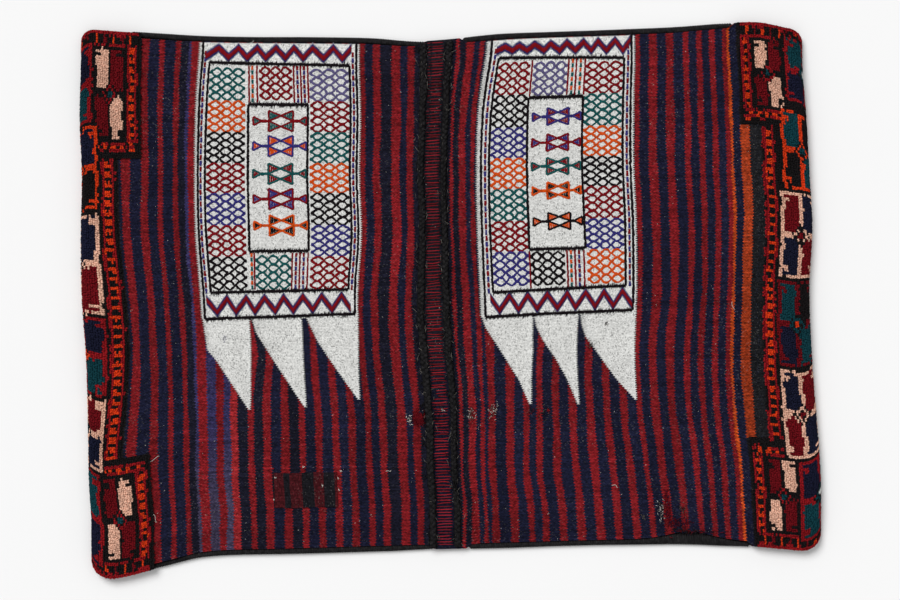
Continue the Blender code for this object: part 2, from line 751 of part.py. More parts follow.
def repair_patch(tree, material):
    """Patch of older cloth, sewn on where the pocket wore through."""
    bm = bmesh.new()
    columns = steps(-0.5, 0.5, 0.25)
    rows = steps(-0.5, 0.5, 0.25)
    layers = []
    for lift, grow in ((0, 1.0), (PATCH_THICKNESS, 0.97)):
        layer = []
        for across in rows:
            line = []
            for along in columns:
                p = PATCH_MIDDLE[0] * HALF_LENGTH + along * grow * PATCH_SIZE[0]
                v = PATCH_MIDDLE[1] * HALF_WIDTH + across * grow * PATCH_SIZE[1]
                x, y = place(p, v)
                line.append(bm.verts.new((x, y, ground_height(tree, x, y) + PATCH_CLEARANCE + lift)))
            layer.append(line)
        layers.append(layer)
    last_row = len(rows) - 1
    last_column = len(columns) - 1
    for layer in layers:
        for r in range(last_row):
            for c in range(last_column):
                bm.faces.new((layer[r][c], layer[r][c + 1], layer[r + 1][c + 1], layer[r + 1][c]))
    rim = [(0, c) for c in range(last_column)] + [(r, last_column) for r in range(last_row)]
    rim += [(last_row, c) for c in range(last_column, 0, -1)] + [(r, 0) for r in range(last_row, 0, -1)]
    for (r0, c0), (r1, c1) in zip(rim, rim[1:] + rim[:1]):
        bm.faces.new((layers[0][r0][c0], layers[0][r1][c1], layers[1][r1][c1], layers[1][r0][c0]))
    return make_object("repair_patch", bm, (material,))


def upper_side_tree(strip):
    bm = bmesh.new()
    bm.from_mesh(strip.data)
    tree = BVHTree.FromBMesh(bm)
    bm.free()
    return tree


def build():
    clear_scene()
    strip = weave_strip([yarn_material(f"yarn_{name}", YARN_COLOURS[name]) for name in YARNS])
    tree = upper_side_tree(strip)
    cut_slits(strip)
    goat_hair = yarn_material("goat_hair", (30, 27, 27), 0.8)
    for end, span in (("left", LEFT_CORD), ("right", RIGHT_CORD)):
        for level, side in (("upper", 1), ("lower", -1)):
            side_cord(f"side_cord_{end}_{level}", span, side, goat_hair)
    for end, (middle, width) in BRAIDS.items():
        bridge_braid(f"bridge_braid_{end}", middle, width, tree, goat_hair)
    repair_patch(tree, yarn_material("patch_wool", (45, 24, 28)))


build()
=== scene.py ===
"""Looks of the kilim saddle bag: ribbed stripes, brocade, knotted pile and goat hair.

The bag lies flat with its woven back up. Cloth places are given as (u, v) in metres: u runs
along the bag and v across it, both from the middle of the cloth. Past the fold at either end
u goes on along the cloth, round the fold and back under the bag to the pocket's mouth.
"""
import json
import math

import bpy
import numpy as np
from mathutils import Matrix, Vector

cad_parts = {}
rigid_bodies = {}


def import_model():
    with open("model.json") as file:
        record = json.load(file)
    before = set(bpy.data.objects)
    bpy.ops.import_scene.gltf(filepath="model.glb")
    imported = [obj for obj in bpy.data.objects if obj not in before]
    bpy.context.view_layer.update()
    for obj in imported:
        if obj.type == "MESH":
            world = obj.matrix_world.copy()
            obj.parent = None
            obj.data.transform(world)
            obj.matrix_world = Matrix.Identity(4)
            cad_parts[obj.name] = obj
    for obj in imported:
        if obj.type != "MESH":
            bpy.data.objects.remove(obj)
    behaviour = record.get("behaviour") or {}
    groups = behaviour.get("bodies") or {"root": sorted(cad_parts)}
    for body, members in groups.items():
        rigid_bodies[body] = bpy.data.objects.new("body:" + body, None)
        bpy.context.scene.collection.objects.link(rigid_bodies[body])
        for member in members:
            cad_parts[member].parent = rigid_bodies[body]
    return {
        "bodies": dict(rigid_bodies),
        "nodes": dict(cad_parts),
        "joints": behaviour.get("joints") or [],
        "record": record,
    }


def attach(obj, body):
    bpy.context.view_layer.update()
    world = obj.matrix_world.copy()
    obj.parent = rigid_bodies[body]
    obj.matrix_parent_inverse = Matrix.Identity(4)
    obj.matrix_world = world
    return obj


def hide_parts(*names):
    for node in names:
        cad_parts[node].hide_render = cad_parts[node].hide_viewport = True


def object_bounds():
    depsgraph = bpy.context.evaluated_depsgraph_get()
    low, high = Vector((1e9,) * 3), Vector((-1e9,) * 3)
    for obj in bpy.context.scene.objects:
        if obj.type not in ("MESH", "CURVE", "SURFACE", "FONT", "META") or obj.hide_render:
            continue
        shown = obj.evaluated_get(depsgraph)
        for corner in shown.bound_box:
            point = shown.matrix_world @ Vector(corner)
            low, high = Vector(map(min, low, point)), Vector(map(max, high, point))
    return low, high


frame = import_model()
cad_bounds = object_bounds()

# Size of the lying bag, as in its solids
HALF_LENGTH = 0.678
HALF_WIDTH = 0.48
UPPER_CORNER_RADIUS = 0.027
LOWER_CORNER_RADIUS = 0.04
BACK_THICKNESS = 0.0035
FACE_THICKNESS = 0.005
PILE_RAISE = 0.0055
BROCADE_RAISE = 0.0013
FIELD_GAP = 0.0105
FOOT_GAP = 0.008
SIDE_GAP = 0.0013
DROOP_WIDTH = 0.06
FOLD_REACH = 0.013
MOUTH_GAP = 0.054
PILE_FACE_DEPTH = 0.15
RAMP = 0.02
WAVE_HEIGHT = 0.0008

FOLD_START = HALF_LENGTH - FOLD_REACH
FOLD_LENGTH = math.pi * FOLD_REACH
FACE_START = FOLD_START + FOLD_LENGTH
STRIP_END = FACE_START + FOLD_START - MOUTH_GAP / 2
PILE_THICKNESS = BACK_THICKNESS + PILE_RAISE

# Sides of the lying bag: how far each stands out past HALF_WIDTH, along HALF_LENGTH
UPPER_SIDE = (
    (-1.0, 0.025), (-0.9, 0.021), (-0.68, 0.012), (-0.24, 0.008), (-0.075, 0.003),
    (0.145, 0.016), (0.583, 0.027), (0.857, 0.038), (1.0, 0.024),
)
LOWER_SIDE = (
    (-1.0, 0.038), (-0.92, 0.036), (-0.79, 0.014), (-0.68, -0.003), (-0.46, -0.0085),
    (0.034, -0.018), (0.583, -0.027), (0.8, -0.022), (1.0, -0.013),
)

# Sideways drift of the wefts, at nine places from the upper side to the lower side
DRIFT_PLACES = (0.93, 0.7, 0.467, 0.234, 0.0, -0.23, -0.463, -0.695, -0.85)
DRIFT = (
    (-1.00, (-0.013, -0.015, -0.011, -0.013, -0.011, -0.003, 0.0, 0.002, 0.0065)),
    (-0.76, (-0.02, -0.02, -0.0195, -0.0185, -0.009, -0.003, 0.0, 0.001, 0.0055)),
    (-0.17, (-0.011, -0.009, -0.011, -0.0075, -0.015, -0.011, 0.0, 0.004, 0.009)),
    (0.075, (-0.009, -0.017, -0.0195, -0.0175, -0.013, -0.0075, 0.0, 0.002, 0.0065)),
    (0.56, (-0.004, -0.0055, -0.0055, 0.001, 0.002, -0.0055, 0.0, 0.013, 0.0205)),
    (0.73, (-0.009, -0.0065, -0.0055, 0.0, -0.003, -0.0055, 0.0, 0.013, 0.017)),
    (1.00, (-0.024, -0.017, -0.011, -0.0055, -0.011, -0.0075, 0.0, 0.0085, 0.011)),
)

# Places where the cloth is pulled along the bag: middle and reach along and across, and how far
PULLS = (
    (-0.91, -0.06, 0.075, 0.3, 0.0135),
    (-0.91, -0.56, 0.075, 0.14, -0.008),
    (0.7, 0.45, 0.16, 0.3, 0.0045),
    (0.7, -0.05, 0.16, 0.22, 0.0045),
    (0.55, -1.00, 0.3, 0.12, 0.0085),
    (-0.67, 0.97, 0.1, 0.17, 0.0078),
    (-0.635, 0.41, 0.05, 0.28, -0.0032),
    (0.1, 1.00, 0.07, 0.12, 0.008),
    (0.135, 0.9, 0.05, 0.22, 0.0045),
    (0.49, 0.05, 0.06, 0.22, -0.0028),
)
STRIPE_PULLS = (
    (-0.525, -0.22, 0.09, 0.13, 0.0135),
    (0.255, -0.16, 0.13, 0.17, 0.0125),
    (0.2, -0.72, 0.12, 0.15, -0.004),
)
PULL_FADE = 0.045

# Weaving plan: one letter for the yarn and its width in weaving units
LEFT_PLAN = (
    "B4 N3 R9 N12 R8 N10 R5 N10 R5 K7 P3 R9 P9 R7 P7 L7 K10 R6 K9 R8 N10 R8 K10 R6 N10 R7 N10 "
    "R7 N9 R7 N10 R6 N8 R7 K11 R9 N7 R7 K8"
)
RIGHT_PLAN = (
    "K3 R3 K6 R7 N5 R4 N4 R7 N11 R8 N9 R6 N7 R6 N10 R7 N10 R7 N10 R8 N10 R7 N10 R7 N10 R5 N9 "
    "R8 N9 R8 N10 R6 N8 R6 N8 R6 N8 R5 Y3 N8 O10 C14"
)
YARN_OF = {
    "N": "navy", "K": "dark_navy", "B": "black", "R": "red", "L": "light_red", "P": "plum",
    "O": "kilim_orange", "Y": "bright_orange", "C": "charcoal",
}
BRIDGE_LEFT = -0.044
BRIDGE_RIGHT = 0.01
WIDE_STRIPE = 0.008

# Weave
WARP = 0.0028
RIB_HEIGHT = 0.00022
SAW = 0.0015
EDGE_WOBBLE = 0.001
WOBBLE_LENGTHS = (0.21, 0.12, 0.055, 0.03, 0.018)
# Rows across the cloth, two for each warp: one in each groove and one on each rib
ROWS = np.linspace(-HALF_WIDTH, HALF_WIDTH, 2 * round(2 * HALF_WIDTH / WARP) + 1)
ROW_MIDDLES = (ROWS[1:] + ROWS[:-1]) / 2

# Side cords: their reach as shares of HALF_LENGTH, and the swollen stretch of the lower right one
CORDS = {"left": (-0.845, -0.07), "right": (0.05, 0.78)}
CORD_WIDTH = 0.0094
CORD_END_STEP = 0.012
CORD_STEP = 0.0013
CORD_CORNERS = 10
CORD_HALF_WIDTH = 0.006
CORD_OUTWARD = 0.0018
CORD_HALF_HEIGHT = 0.0048
CORD_TAPER = 0.006
WRAP_PITCH = 0.0046
CORD_SWELL = 0.0135
SWELL_MIDDLE = 0.416
SWELL_REACH = 0.055
SWELL_INNER = 0.395

# Bridge: the middle, width and worn gap of its two plaits, and its ladder of red warps
BRAIDS = {
    "bridge_braid_left": (-0.0425, 0.014, (1, 1)),
    "bridge_braid_right": (0.0035, 0.0125, (-0.372, -0.35)),
}
BRAID_REACH = HALF_WIDTH - 0.004
BRAID_STEP = 0.0024
BRAID_THICKNESS = 0.0032
PLAIT_PITCH = 0.031
LADDER = (-0.036, -0.003)
LADDER_LINE = 0.0022
LADDER_WORN = (-0.19, 0.012)
LADDER_COLUMN = -0.0285
LADDER_COLUMN_FOOT = 0.3

# Hidden faces of the pockets, and the closing slits beside their mouths
FACE_STEPS = (8, 13, 38, 4)
FACE_COLUMNS = 73
FACE_GUARD = 0.02
FACE_BEAD = 0.018
FACE_STRIPE = 0.035
FACE_STRIPES = ("navy", "red", "navy", "plum")
SLITS = 9
SLIT_LENGTH = 0.045
SLIT_WIDTH = 0.0025
SLIT_FROM_MOUTH = 0.014

# Knotted pile
KNOT_ALONG = 0.0037
KNOT_ACROSS = 2 * WARP
BEAD = 0.0166
BEAD_DARK = 0.0086
STRAY = 0.45
PILE_PAST_FOLD = 0.56
KNOT_GROUND = 0.5
KNOT_GROUND_SHADE = 0.55
KNOT_SINK = 0.0004
# Size and level of a cut end's two rings, and its reach along and across in knots
TUFT_RINGS = ((0.98, 0.45), (0.88, 0.86))
TUFT_REACH = (0.64 * KNOT_ALONG, 0.36 * KNOT_ACROSS)
# Compartments: width of the frame and of the bar, for the band's and for the corners'
BAND_FRAME = (0.0068, 0.0075)
CORNER_FRAME = (0.003, 0.005)
# Corner blocks: guards at the bag's side and at the block's foot, their dark squares and lines
PAST_EDGE = 0.01
PAST_END = 0.05
SIDE_GUARD = 0.027
SIDE_GUARD_DARK = 0.012
SIDE_LINE = 0.008
FOOT_GUARD = 0.031
FOOT_LINE = 0.013
# The two ends: depth of the pile band and of its corner blocks, and the blocks' upper and lower
# reach along v. Then from the bag's end inwards: the guard stripe, a corner's inner and outer
# place and guard width, and the compartments of the band and of its two corners. Each
# compartment has its top and foot along v, its shift inwards, its ground, four quarters, centre
# and ring.
ENDS = {
    -1: {
        "band": 0.066, "block": 0.118, "reach": (0.224, 0.209), "guard": (0.04, 0.064),
        "corner": (0.087, 0.03, 0.025), "span": (-0.05, 0.033), "corner_span": (-0.064, 0.0165),
        "boxes": (
            (0.457, 0.317, 0.008, "madder", "navy deep_navy teal teal", "teal", "black"),
            (0.309, 0.164, 0.0, "orange", "slate deep_navy black black", "orange", "orange"),
            (0.156, -0.021, 0.0, "pink", "navy deep_navy crimson crimson", "madder", "pink"),
            (-0.027, -0.163, 0.002, "madder", "teal deep_navy teal teal", "orange", "orange"),
            (-0.169, -0.296, 0.0015, "pink", "crimson crimson deep_navy deep_navy", "teal", "pink"),
            (-0.302, -0.466, 0.0085, "madder", "teal teal deep_navy deep_navy", "pink", "black"),
        ),
    },
    1: {
        "band": 0.091, "block": 0.131, "reach": (0.188, 0.2), "guard": (0.0685, 0.09),
        "corner": (0.1025, 0.044, 0.0245), "span": (-0.0235, 0.0535), "corner_span": (-0.045, 0.0385),
        "boxes": (
            (0.466, 0.345, 0.0, "madder", "navy teal black deep_navy", "white", "teal"),
            (0.326, 0.184, 0.0, "orange", "black teal teal black", "teal", "orange"),
            (0.176, 0.02, 0.008, "pink", "deep_navy crimson crimson deep_navy", "crimson", "pink"),
            (0.012, -0.144, 0.0105, "crimson", "black teal teal deep_navy", "orange", "teal"),
            (-0.152, -0.31, 0.01, "pink", "crimson deep_navy deep_navy crimson", "crimson", "pink"),
            (-0.318, -0.462, 0.0025, "madder", "teal deep_navy crimson teal", "white", "teal"),
        ),
    },
}

# White panels and the widths of the yarn lines on them
FLOAT_TOOTH = 0.0023
FLOAT_ROW = WARP / 2
PANEL_COLUMNS = 20
FLAG_COLUMNS = 8
SLUMP_FOOT = 0.19
SLUMP_DEPTH = 0.24
LINE_LOW = BROCADE_RAISE - 0.0004
LINE_HIGH = BROCADE_RAISE + 0.0006
LINE_STEP = 0.0028
FRAME_LINE = 0.0056
RAGGED_LINE = 0.0084
RAGGED_STEP = 0.0019
BAR_LINE = 0.0041
BAR_DASH = 0.0085
DASH_LINE = 0.0054
SIDE_DASH = 0.0108
NET_ROWS = 4
NET_LOZENGES = 3
NET_LINE = 0.0054
NET_MARGIN = 0.0006
ZIGZAG_SETTLE = 0.02
# The lowest and widest layer of the zigzag is a grey band of painted shadow beside its blue edges
ZIGZAG_LAYERS = (
    ("zigzag_shadow_grey", 0.0222, -0.0002), ("thread_navy", 0.0184, 0.0), ("thread_red", 0.0106, 0.0004),
)
MOTIF_LINE = 0.0047
MOTIF_CROSSING = 0.5
DART_LENGTH = 0.015
DART_HALF = 0.008

# Mending patch, on the left half
PATCH_MIDDLE = (-0.277, -0.362)
PATCH_SIZE = (0.118, 0.065)
PATCH_THICKNESS = 0.0014
PATCH_TOP = 0.0019
PATCH_LEAN = 0.02
PATCH_EDGES = (0.0, 0.02, 0.17, 0.265, 0.455, 0.64, 0.8, 0.965, 1.0)

# Loose hairs stay this far inside the sides
HAIR_MARGIN = 0.004

# Width of the floor that the view takes in, the middle of the view, and the lens in millimetres
VIEW_WIDTH = 1.674
VIEW_MIDDLE = (-0.0028, 0.0009)
VIEW_LEVEL = 0.018
LENS = 100
SENSOR = 36

# Floor and light
FLOOR_REACH = 6.0
FLOOR_GREY = 0.94
FLOOR_BELOW = 0.0002
SKY_STRENGTH = 0.5
LAMP_STRENGTH = 2.1
LAMP_SPREAD = 35
LAMP_DIRECTION = (0.5, -0.7, -1.0)

# Colours as they look on the bag
YARNS = {
    "red": (113, 22, 27),
    "light_red": (140, 34, 38),
    "navy": (22, 24, 44),
    "dark_navy": (21, 21, 34),
    "plum": (46, 42, 78),
    "faded_plum": (60, 54, 76),
    "slate": (56, 60, 80),
    "kilim_orange": (146, 52, 24),
    "bright_orange": (176, 66, 24),
    "charcoal": (26, 26, 29),
    "black": (25, 22, 23),
    "white": (219, 219, 216),
    "madder": (138, 22, 28),
    "crimson": (104, 14, 22),
    "orange": (208, 58, 22),
    "pink": (222, 175, 152),
    "teal": (16, 60, 68),
    "deep_navy": (24, 26, 46),
    "goat_hair": (25, 24, 25),
    "grey_hair": (92, 88, 82),
    "blotch": (84, 10, 20),
    "thread_black": (20, 15, 18),
    "thread_red": (114, 12, 20),
    "thread_blue": (48, 44, 108),
    "thread_teal": (18, 76, 76),
    "thread_orange": (196, 72, 18),
    "thread_navy": (36, 36, 86),
    # painted shadow beside the zigzag on the white floats
    "zigzag_shadow_grey": (128, 128, 140),
    "thread_grey": (88, 82, 120),
    "patch_red": (65, 18, 23),
    "patch_dark": (23, 22, 27),
    "lint": (200, 196, 188),
}


def linear(level):
    level /= 255
    return level / 12.92 if level <= 0.04045 else ((level + 0.055) / 1.055) ** 2.4


def yarn(name):
    return np.array([linear(level) for level in YARNS[name]])


# Cloth: from flat places to the lying bag


def blend(low, high, value):
    share = np.clip((value - low) / (high - low), 0, 1)
    return share * share * (3 - 2 * share)


def smooth_through(stations, values, at):
    """Smooth curve through values at stations, level past both ends."""
    stations = np.asarray(stations, float)
    values = np.asarray(values, float)
    if values.ndim == 1:
        values = np.repeat(values[:, None], at.size, axis=1)
    slopes = np.zeros_like(values)
    slopes[1:-1] = (values[2:] - values[:-2]) / (stations[2:] - stations[:-2])[:, None]
    at = np.clip(at, stations[0], stations[-1])
    k = np.clip(np.searchsorted(stations, at, side="right") - 1, 0, len(stations) - 2)
    n = np.arange(at.size)
    span = stations[k + 1] - stations[k]
    t = (at - stations[k]) / span
    rise = (2 * t**3 - 3 * t**2 + 1) * values[k, n] + (3 * t**2 - 2 * t**3) * values[k + 1, n]
    lean = (t**3 - 2 * t**2 + t) * slopes[k, n] + (t**3 - t**2) * slopes[k + 1, n]
    return rise + span * lean


def pulled(pulls, along, across):
    out = np.zeros(np.broadcast(along, across).shape)
    for at_along, at_across, reach_along, reach_across, amount in pulls:
        away = ((along - at_along) / reach_along) ** 2 + ((across - at_across) / reach_across) ** 2
        out += amount * np.exp(-away)
    return out * np.clip((1 - np.abs(along)) / PULL_FADE, 0, 1)


def drift(along, across):
    rows = DRIFT_PLACES[::-1]
    columns = [smooth_through(rows, values[::-1], across) for _, values in DRIFT]
    slow = smooth_through([at for at, _ in DRIFT], np.array(columns), along)
    return slow + pulled(PULLS, along, across)


def side_curve(points, along):
    return smooth_through([at for at, _ in points], [out for _, out in points], along)


def corner_rounding(x, radius):
    past = np.clip(np.abs(x) - (HALF_LENGTH - radius), 0, radius)
    return radius - np.sqrt(radius**2 - past**2)


def seen_from_above(x, v):
    """x and y of a point x along and v across the lying cloth."""
    along = x / HALF_LENGTH
    share = v / HALF_WIDTH
    upper = HALF_WIDTH + side_curve(UPPER_SIDE, along)
    lower = HALF_WIDTH + side_curve(LOWER_SIDE, along)
    upper = upper - corner_rounding(x, UPPER_CORNER_RADIUS)
    lower = lower - corner_rounding(x, LOWER_CORNER_RADIUS)
    middle = (upper - lower) / 2
    half = (upper + lower) / 2
    return x + drift(along, share), middle + share * half


def footward(x):
    """0 over the upper part of a pocket, 1 over its pile-faced foot."""
    return blend(FOLD_START - PILE_FACE_DEPTH - RAMP, FOLD_START - PILE_FACE_DEPTH, np.abs(x))


def face_thickness(x):
    return FACE_THICKNESS + (PILE_THICKNESS - FACE_THICKNESS) * footward(x)


def layer_gap(x, v):
    settle = blend(0, DROOP_WIDTH, HALF_WIDTH - np.abs(v))
    wave = WAVE_HEIGHT * np.sin(9.5 * x + 1.3) * np.sin(7.0 * v + 0.6)
    wave += 0.6 * WAVE_HEIGHT * np.sin(17 * x - 11 * v)
    full = FIELD_GAP + (FOOT_GAP - FIELD_GAP) * footward(x)
    return SIDE_GAP + (full + wave - SIDE_GAP) * settle


def puckers(x, v):
    """Small unevenness of the hand-woven cloth, stronger beside the stitched bridge."""
    near_bridge = np.exp(-(((x + 0.016) / 0.06) ** 2))
    small = np.sin(63 * x + 5 * np.sin(21 * v)) * np.sin(47 * v + 3 * np.sin(17 * x))
    small += 0.7 * np.sin(111 * v + 30 * x) * np.sin(23 * x - 38 * v)
    return 0.00025 * small + 0.0004 * near_bridge * np.sin(150 * v + 40 * x)


def round_fold(u, v):
    """Side, run, angle round the fold, place above the ground and gap there, for flat places."""
    side = np.where(u < 0, -1.0, 1.0)
    run = np.abs(u)
    angle = np.clip((run - FOLD_START) / FOLD_REACH, 0, math.pi)
    flat_x = np.where(run > FACE_START, FOLD_START - (run - FACE_START), np.minimum(run, FOLD_START))
    return side, run, angle, flat_x, layer_gap(side * flat_x, v)


def lay(u, v, lift=0.0):
    """Points of the lying strip for flat places, lifted off the outer side of its ground."""
    u, v, lift = np.broadcast_arrays(u, v, lift)
    shape = u.shape
    u, v, lift = u.ravel(), v.ravel(), lift.ravel()
    side, run, angle, flat_x, gap = round_fold(u, v)
    x = side * (flat_x + (FOLD_REACH - PILE_RAISE + lift) * np.sin(angle))
    top = face_thickness(flat_x) + gap + BACK_THICKNESS + puckers(side * flat_x, v) + lift
    half = gap / 2 + BACK_THICKNESS + lift
    fold = PILE_THICKNESS + gap / 2 + half * np.cos(angle)
    bottom = np.where(run > FACE_START, 0.0, np.maximum(0.0, fold))
    z = np.where(run <= FOLD_START, top, bottom)
    return np.stack([*seen_from_above(x, v), z], axis=-1).reshape(*shape, 3)


def inner_side(u, v):
    """The pocket's lining side of the same cloth."""
    shape = u.shape
    u, v = u.ravel(), v.ravel()
    side, run, angle, flat_x, gap = round_fold(u, v)
    x = side * (flat_x + (FOLD_REACH - PILE_THICKNESS) * np.sin(angle))
    lower = face_thickness(flat_x)
    z = np.where(run <= FOLD_START, lower + gap, lower + gap / 2 + gap / 2 * np.cos(angle))
    z = np.where(run > FACE_START, lower, z)
    return np.stack([*seen_from_above(x, v), z], axis=-1).reshape(*shape, 3)


# Meshes


def make_piece(
    name, material, surface, node="woven_strip"
):
    """A mesh piece that stands for a node, whose solid it hides.

    It has a yarn colour for each face, and flat cloth places as its UV map.
    """
    points, faces, colours, places = surface
    sides = faces.shape[1]
    mesh = bpy.data.meshes.new(name)
    mesh.vertices.add(len(points))
    mesh.vertices.foreach_set("co", points.astype(np.float32).ravel())
    mesh.loops.add(faces.size)
    mesh.loops.foreach_set("vertex_index", faces.ravel().astype(np.int32))
    mesh.polygons.add(len(faces))
    mesh.polygons.foreach_set("loop_start", np.arange(0, faces.size, sides, dtype=np.int32))
    mesh.update(calc_edges=True)
    attribute = mesh.color_attributes.new("yarn", "FLOAT_COLOR", "CORNER")
    corner_colours = np.repeat(np.c_[colours, np.ones(len(faces))], sides, axis=0)
    attribute.data.foreach_set("color", corner_colours.astype(np.float32).ravel())
    layer = mesh.uv_layers.new(name="cloth")
    layer.uv.foreach_set("vector", places.astype(np.float32)[faces.ravel()].ravel())
    mesh.shade_smooth()
    mesh.validate()
    mesh.materials.append(material)
    thing = bpy.data.objects.new(name, mesh)
    bpy.context.scene.collection.objects.link(thing)
    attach(thing, "root")
    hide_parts(node)


def in_triangles(faces, colours):
    if faces.shape[1] == 3:
        return faces, colours
    halves = np.concatenate([faces[:, (0, 1, 2)], faces[:, (0, 2, 3)]])
    return halves, np.concatenate([colours, colours])


def joined(parts):
    """One set of points, faces, colours and places from several."""
    mixed = len({part[1].shape[1] for part in parts}) > 1
    groups = [], [], [], []
    start = 0
    for points, faces, colours, places in parts:
        if mixed:
            faces, colours = in_triangles(faces, colours)
        for group, added in zip(groups, (points, faces + start, colours, places)):
            group.append(added)
        start += len(points)
    return [np.concatenate(group) for group in groups]


def shell(outer, inner, colours, places, keep=None, wall_shade=0.6):
    """Closed cloth between two grids of points. keep says which of the grid's cells are there."""
    nu, nv = outer.shape[:2]
    if keep is None:
        keep = np.ones((nu - 1, nv - 1), bool)
    index = np.arange(nu * nv).reshape(nu, nv)
    under = index + nu * nv
    i, j = np.nonzero(keep)
    top = np.stack([index[i, j], index[i + 1, j], index[i + 1, j + 1], index[i, j + 1]], 1)
    bottom = np.stack([under[i, j], under[i, j + 1], under[i + 1, j + 1], under[i + 1, j]], 1)
    faces = [top, bottom]
    tints = [colours[i, j]] * 2
    padded = np.pad(keep, 1)
    borders = (
        (padded[:-2, 1:-1], (0, 1), (0, 0)), (padded[2:, 1:-1], (1, 0), (1, 1)),
        (padded[1:-1, :-2], (0, 0), (1, 0)), (padded[1:-1, 2:], (1, 1), (0, 1)),
    )
    for neighbour, start, end in borders:
        a, b = np.nonzero(keep & ~neighbour)
        first = index[a + start[0], b + start[1]]
        last = index[a + end[0], b + end[1]]
        faces.append(np.stack([first, last, last + nu * nv, first + nu * nv], 1))
        tints.append(colours[a, b] * wall_shade)
    points = np.concatenate([outer.reshape(-1, 3), inner.reshape(-1, 3)])
    flat = np.concatenate([places.reshape(-1, 2)] * 2)
    faces = np.concatenate(faces)
    used, renumbered = np.unique(faces, return_inverse=True)
    return points[used], renumbered.reshape(faces.shape), np.concatenate(tints), flat[used]


def grid_of(us, vs):
    return np.meshgrid(us, vs, indexing="ij")


# Materials


class Look:
    """A matt material whose colour is each face's yarn, shaded in flat cloth coordinates."""

    def __init__(self, name, roughness, specular=0.08):
        self.material = bpy.data.materials.new(name)
        self.material.use_nodes = True
        self.tree = self.material.node_tree
        self.shader = self.tree.nodes["Principled BSDF"]
        self.shader.inputs["Roughness"].default_value = roughness
        self.shader.inputs["Specular IOR Level"].default_value = specular

    def node(self, kind, inputs, output=0, **settings):
        """One output of a new node, with numbers or other outputs at its inputs."""
        node = self.tree.nodes.new(kind)
        for key, value in settings.items():
            setattr(node, key, value)
        for key, value in inputs.items():
            if isinstance(value, bpy.types.NodeSocket):
                self.tree.links.new(value, node.inputs[key])
            else:
                node.inputs[key].default_value = value
        return node.outputs[output]

    def cloth(self):
        return self.node("ShaderNodeUVMap", {}, "UV", uv_map="cloth")

    def stretched(self, scale):
        return self.node("ShaderNodeMapping", {"Vector": self.cloth(), "Scale": scale}, "Vector")

    def noise(self, scale, detail=2.0):
        inputs = {"Scale": 1.0, "Detail": detail, "Vector": self.stretched(scale)}
        return self.node("ShaderNodeTexNoise", inputs, "Fac")

    def cells(self, along, across):
        """A random number for each small cell of the weave."""
        place = {0: self.stretched((1 / along, 1 / across, 1))}
        snap = self.node("ShaderNodeVectorMath", place, "Vector", operation="FLOOR")
        return self.node("ShaderNodeTexWhiteNoise", {"Vector": snap}, "Value", noise_dimensions="2D")

    def ranged(self, value, low, high, low_in=0.3, high_in=0.7):
        inputs = {"From Min": low_in, "From Max": high_in, "To Min": low, "To Max": high, "Value": value}
        return self.node("ShaderNodeMapRange", inputs, "Result")

    def math(self, operation, *values):
        return self.node("ShaderNodeMath", dict(enumerate(values)), operation=operation)

    def product(self, first, *others):
        for other in others:
            first = self.math("MULTIPLY", first, other)
        return first

    def yarns(self, shade):
        """The face's yarn colour, made lighter and darker by a shade near 1."""
        colour = self.node("ShaderNodeVertexColor", {}, "Color", layer_name="yarn")
        return self.node("ShaderNodeVectorMath", {0: colour, "Scale": shade}, "Vector", operation="SCALE")

    def lint(self, colour, share):
        inputs = {"Factor": share, "A": colour, "B": (*yarn("lint"), 1)}
        return self.node("ShaderNodeMix", inputs, "Result", data_type="RGBA")

    def ribs(self, low, high):
        """Painted shade and light: the colour darker in the grooves between the warps' ribs and lighter on
        their crests.
        """
        across = self.node("ShaderNodeSeparateXYZ", {"Vector": self.cloth()}, "Y")
        turn = self.math("MULTIPLY_ADD", across, 2 * math.pi / WARP, 2 * math.pi * HALF_WIDTH / WARP)
        return self.ranged(self.math("COSINE", turn), high, low, -1.0, 1.0)

    def finish(self, colour, height, distance, strength):
        """The material with its colour and its bump."""
        inputs = {"Distance": distance, "Strength": strength, "Height": height}
        normal = self.node("ShaderNodeBump", inputs, "Normal")
        self.tree.links.new(colour, self.shader.inputs["Base Color"])
        self.tree.links.new(normal, self.shader.inputs["Normal"])
        return self.material


def woven_material():
    """Weft-faced wool: ribs with painted shade in their grooves, fine picks, uneven dye and a little lint."""
    look = Look("woven_wool", 0.92)
    picks = look.noise((420, 110, 1), 1.0)
    mottle = look.noise((240, 250, 1), 3.0)
    shade = look.product(
        look.ranged(picks, 0.76, 1.26), look.ranged(mottle, 0.78, 1.24),
        look.ranged(look.noise((9, 3.5, 1)), 0.88, 1.12),
        look.ranged(look.cells(0.0025, WARP), 0.58, 1.5, 0.0, 1.0), look.ribs(0.52, 1.3),
    )
    dust = look.ranged(look.noise((5.5, 4.5, 1)), 0.01, 0.085, 0.4, 0.62)
    fibres = look.ranged(look.cells(0.0019, 0.0017), 0.0, 1.0, 0.955, 0.965)
    colour = look.lint(look.yarns(shade), look.product(fibres, dust))
    place = {"Scale": 1.0, "Vector": look.stretched((95, 95, 1))}
    specks = look.node("ShaderNodeTexVoronoi", place, "Distance", feature="F1")
    chance = look.node("ShaderNodeSeparateColor", {"Color": specks.node.outputs["Color"]}, "Red")
    near = look.ranged(specks, 0.6, 0.0, 0.05, 0.11)
    colour = look.lint(colour, look.product(near, look.math("LESS_THAN", chance, 0.07)))
    return look.finish(colour, look.math("ADD", picks, mottle), 0.0007, 0.7)


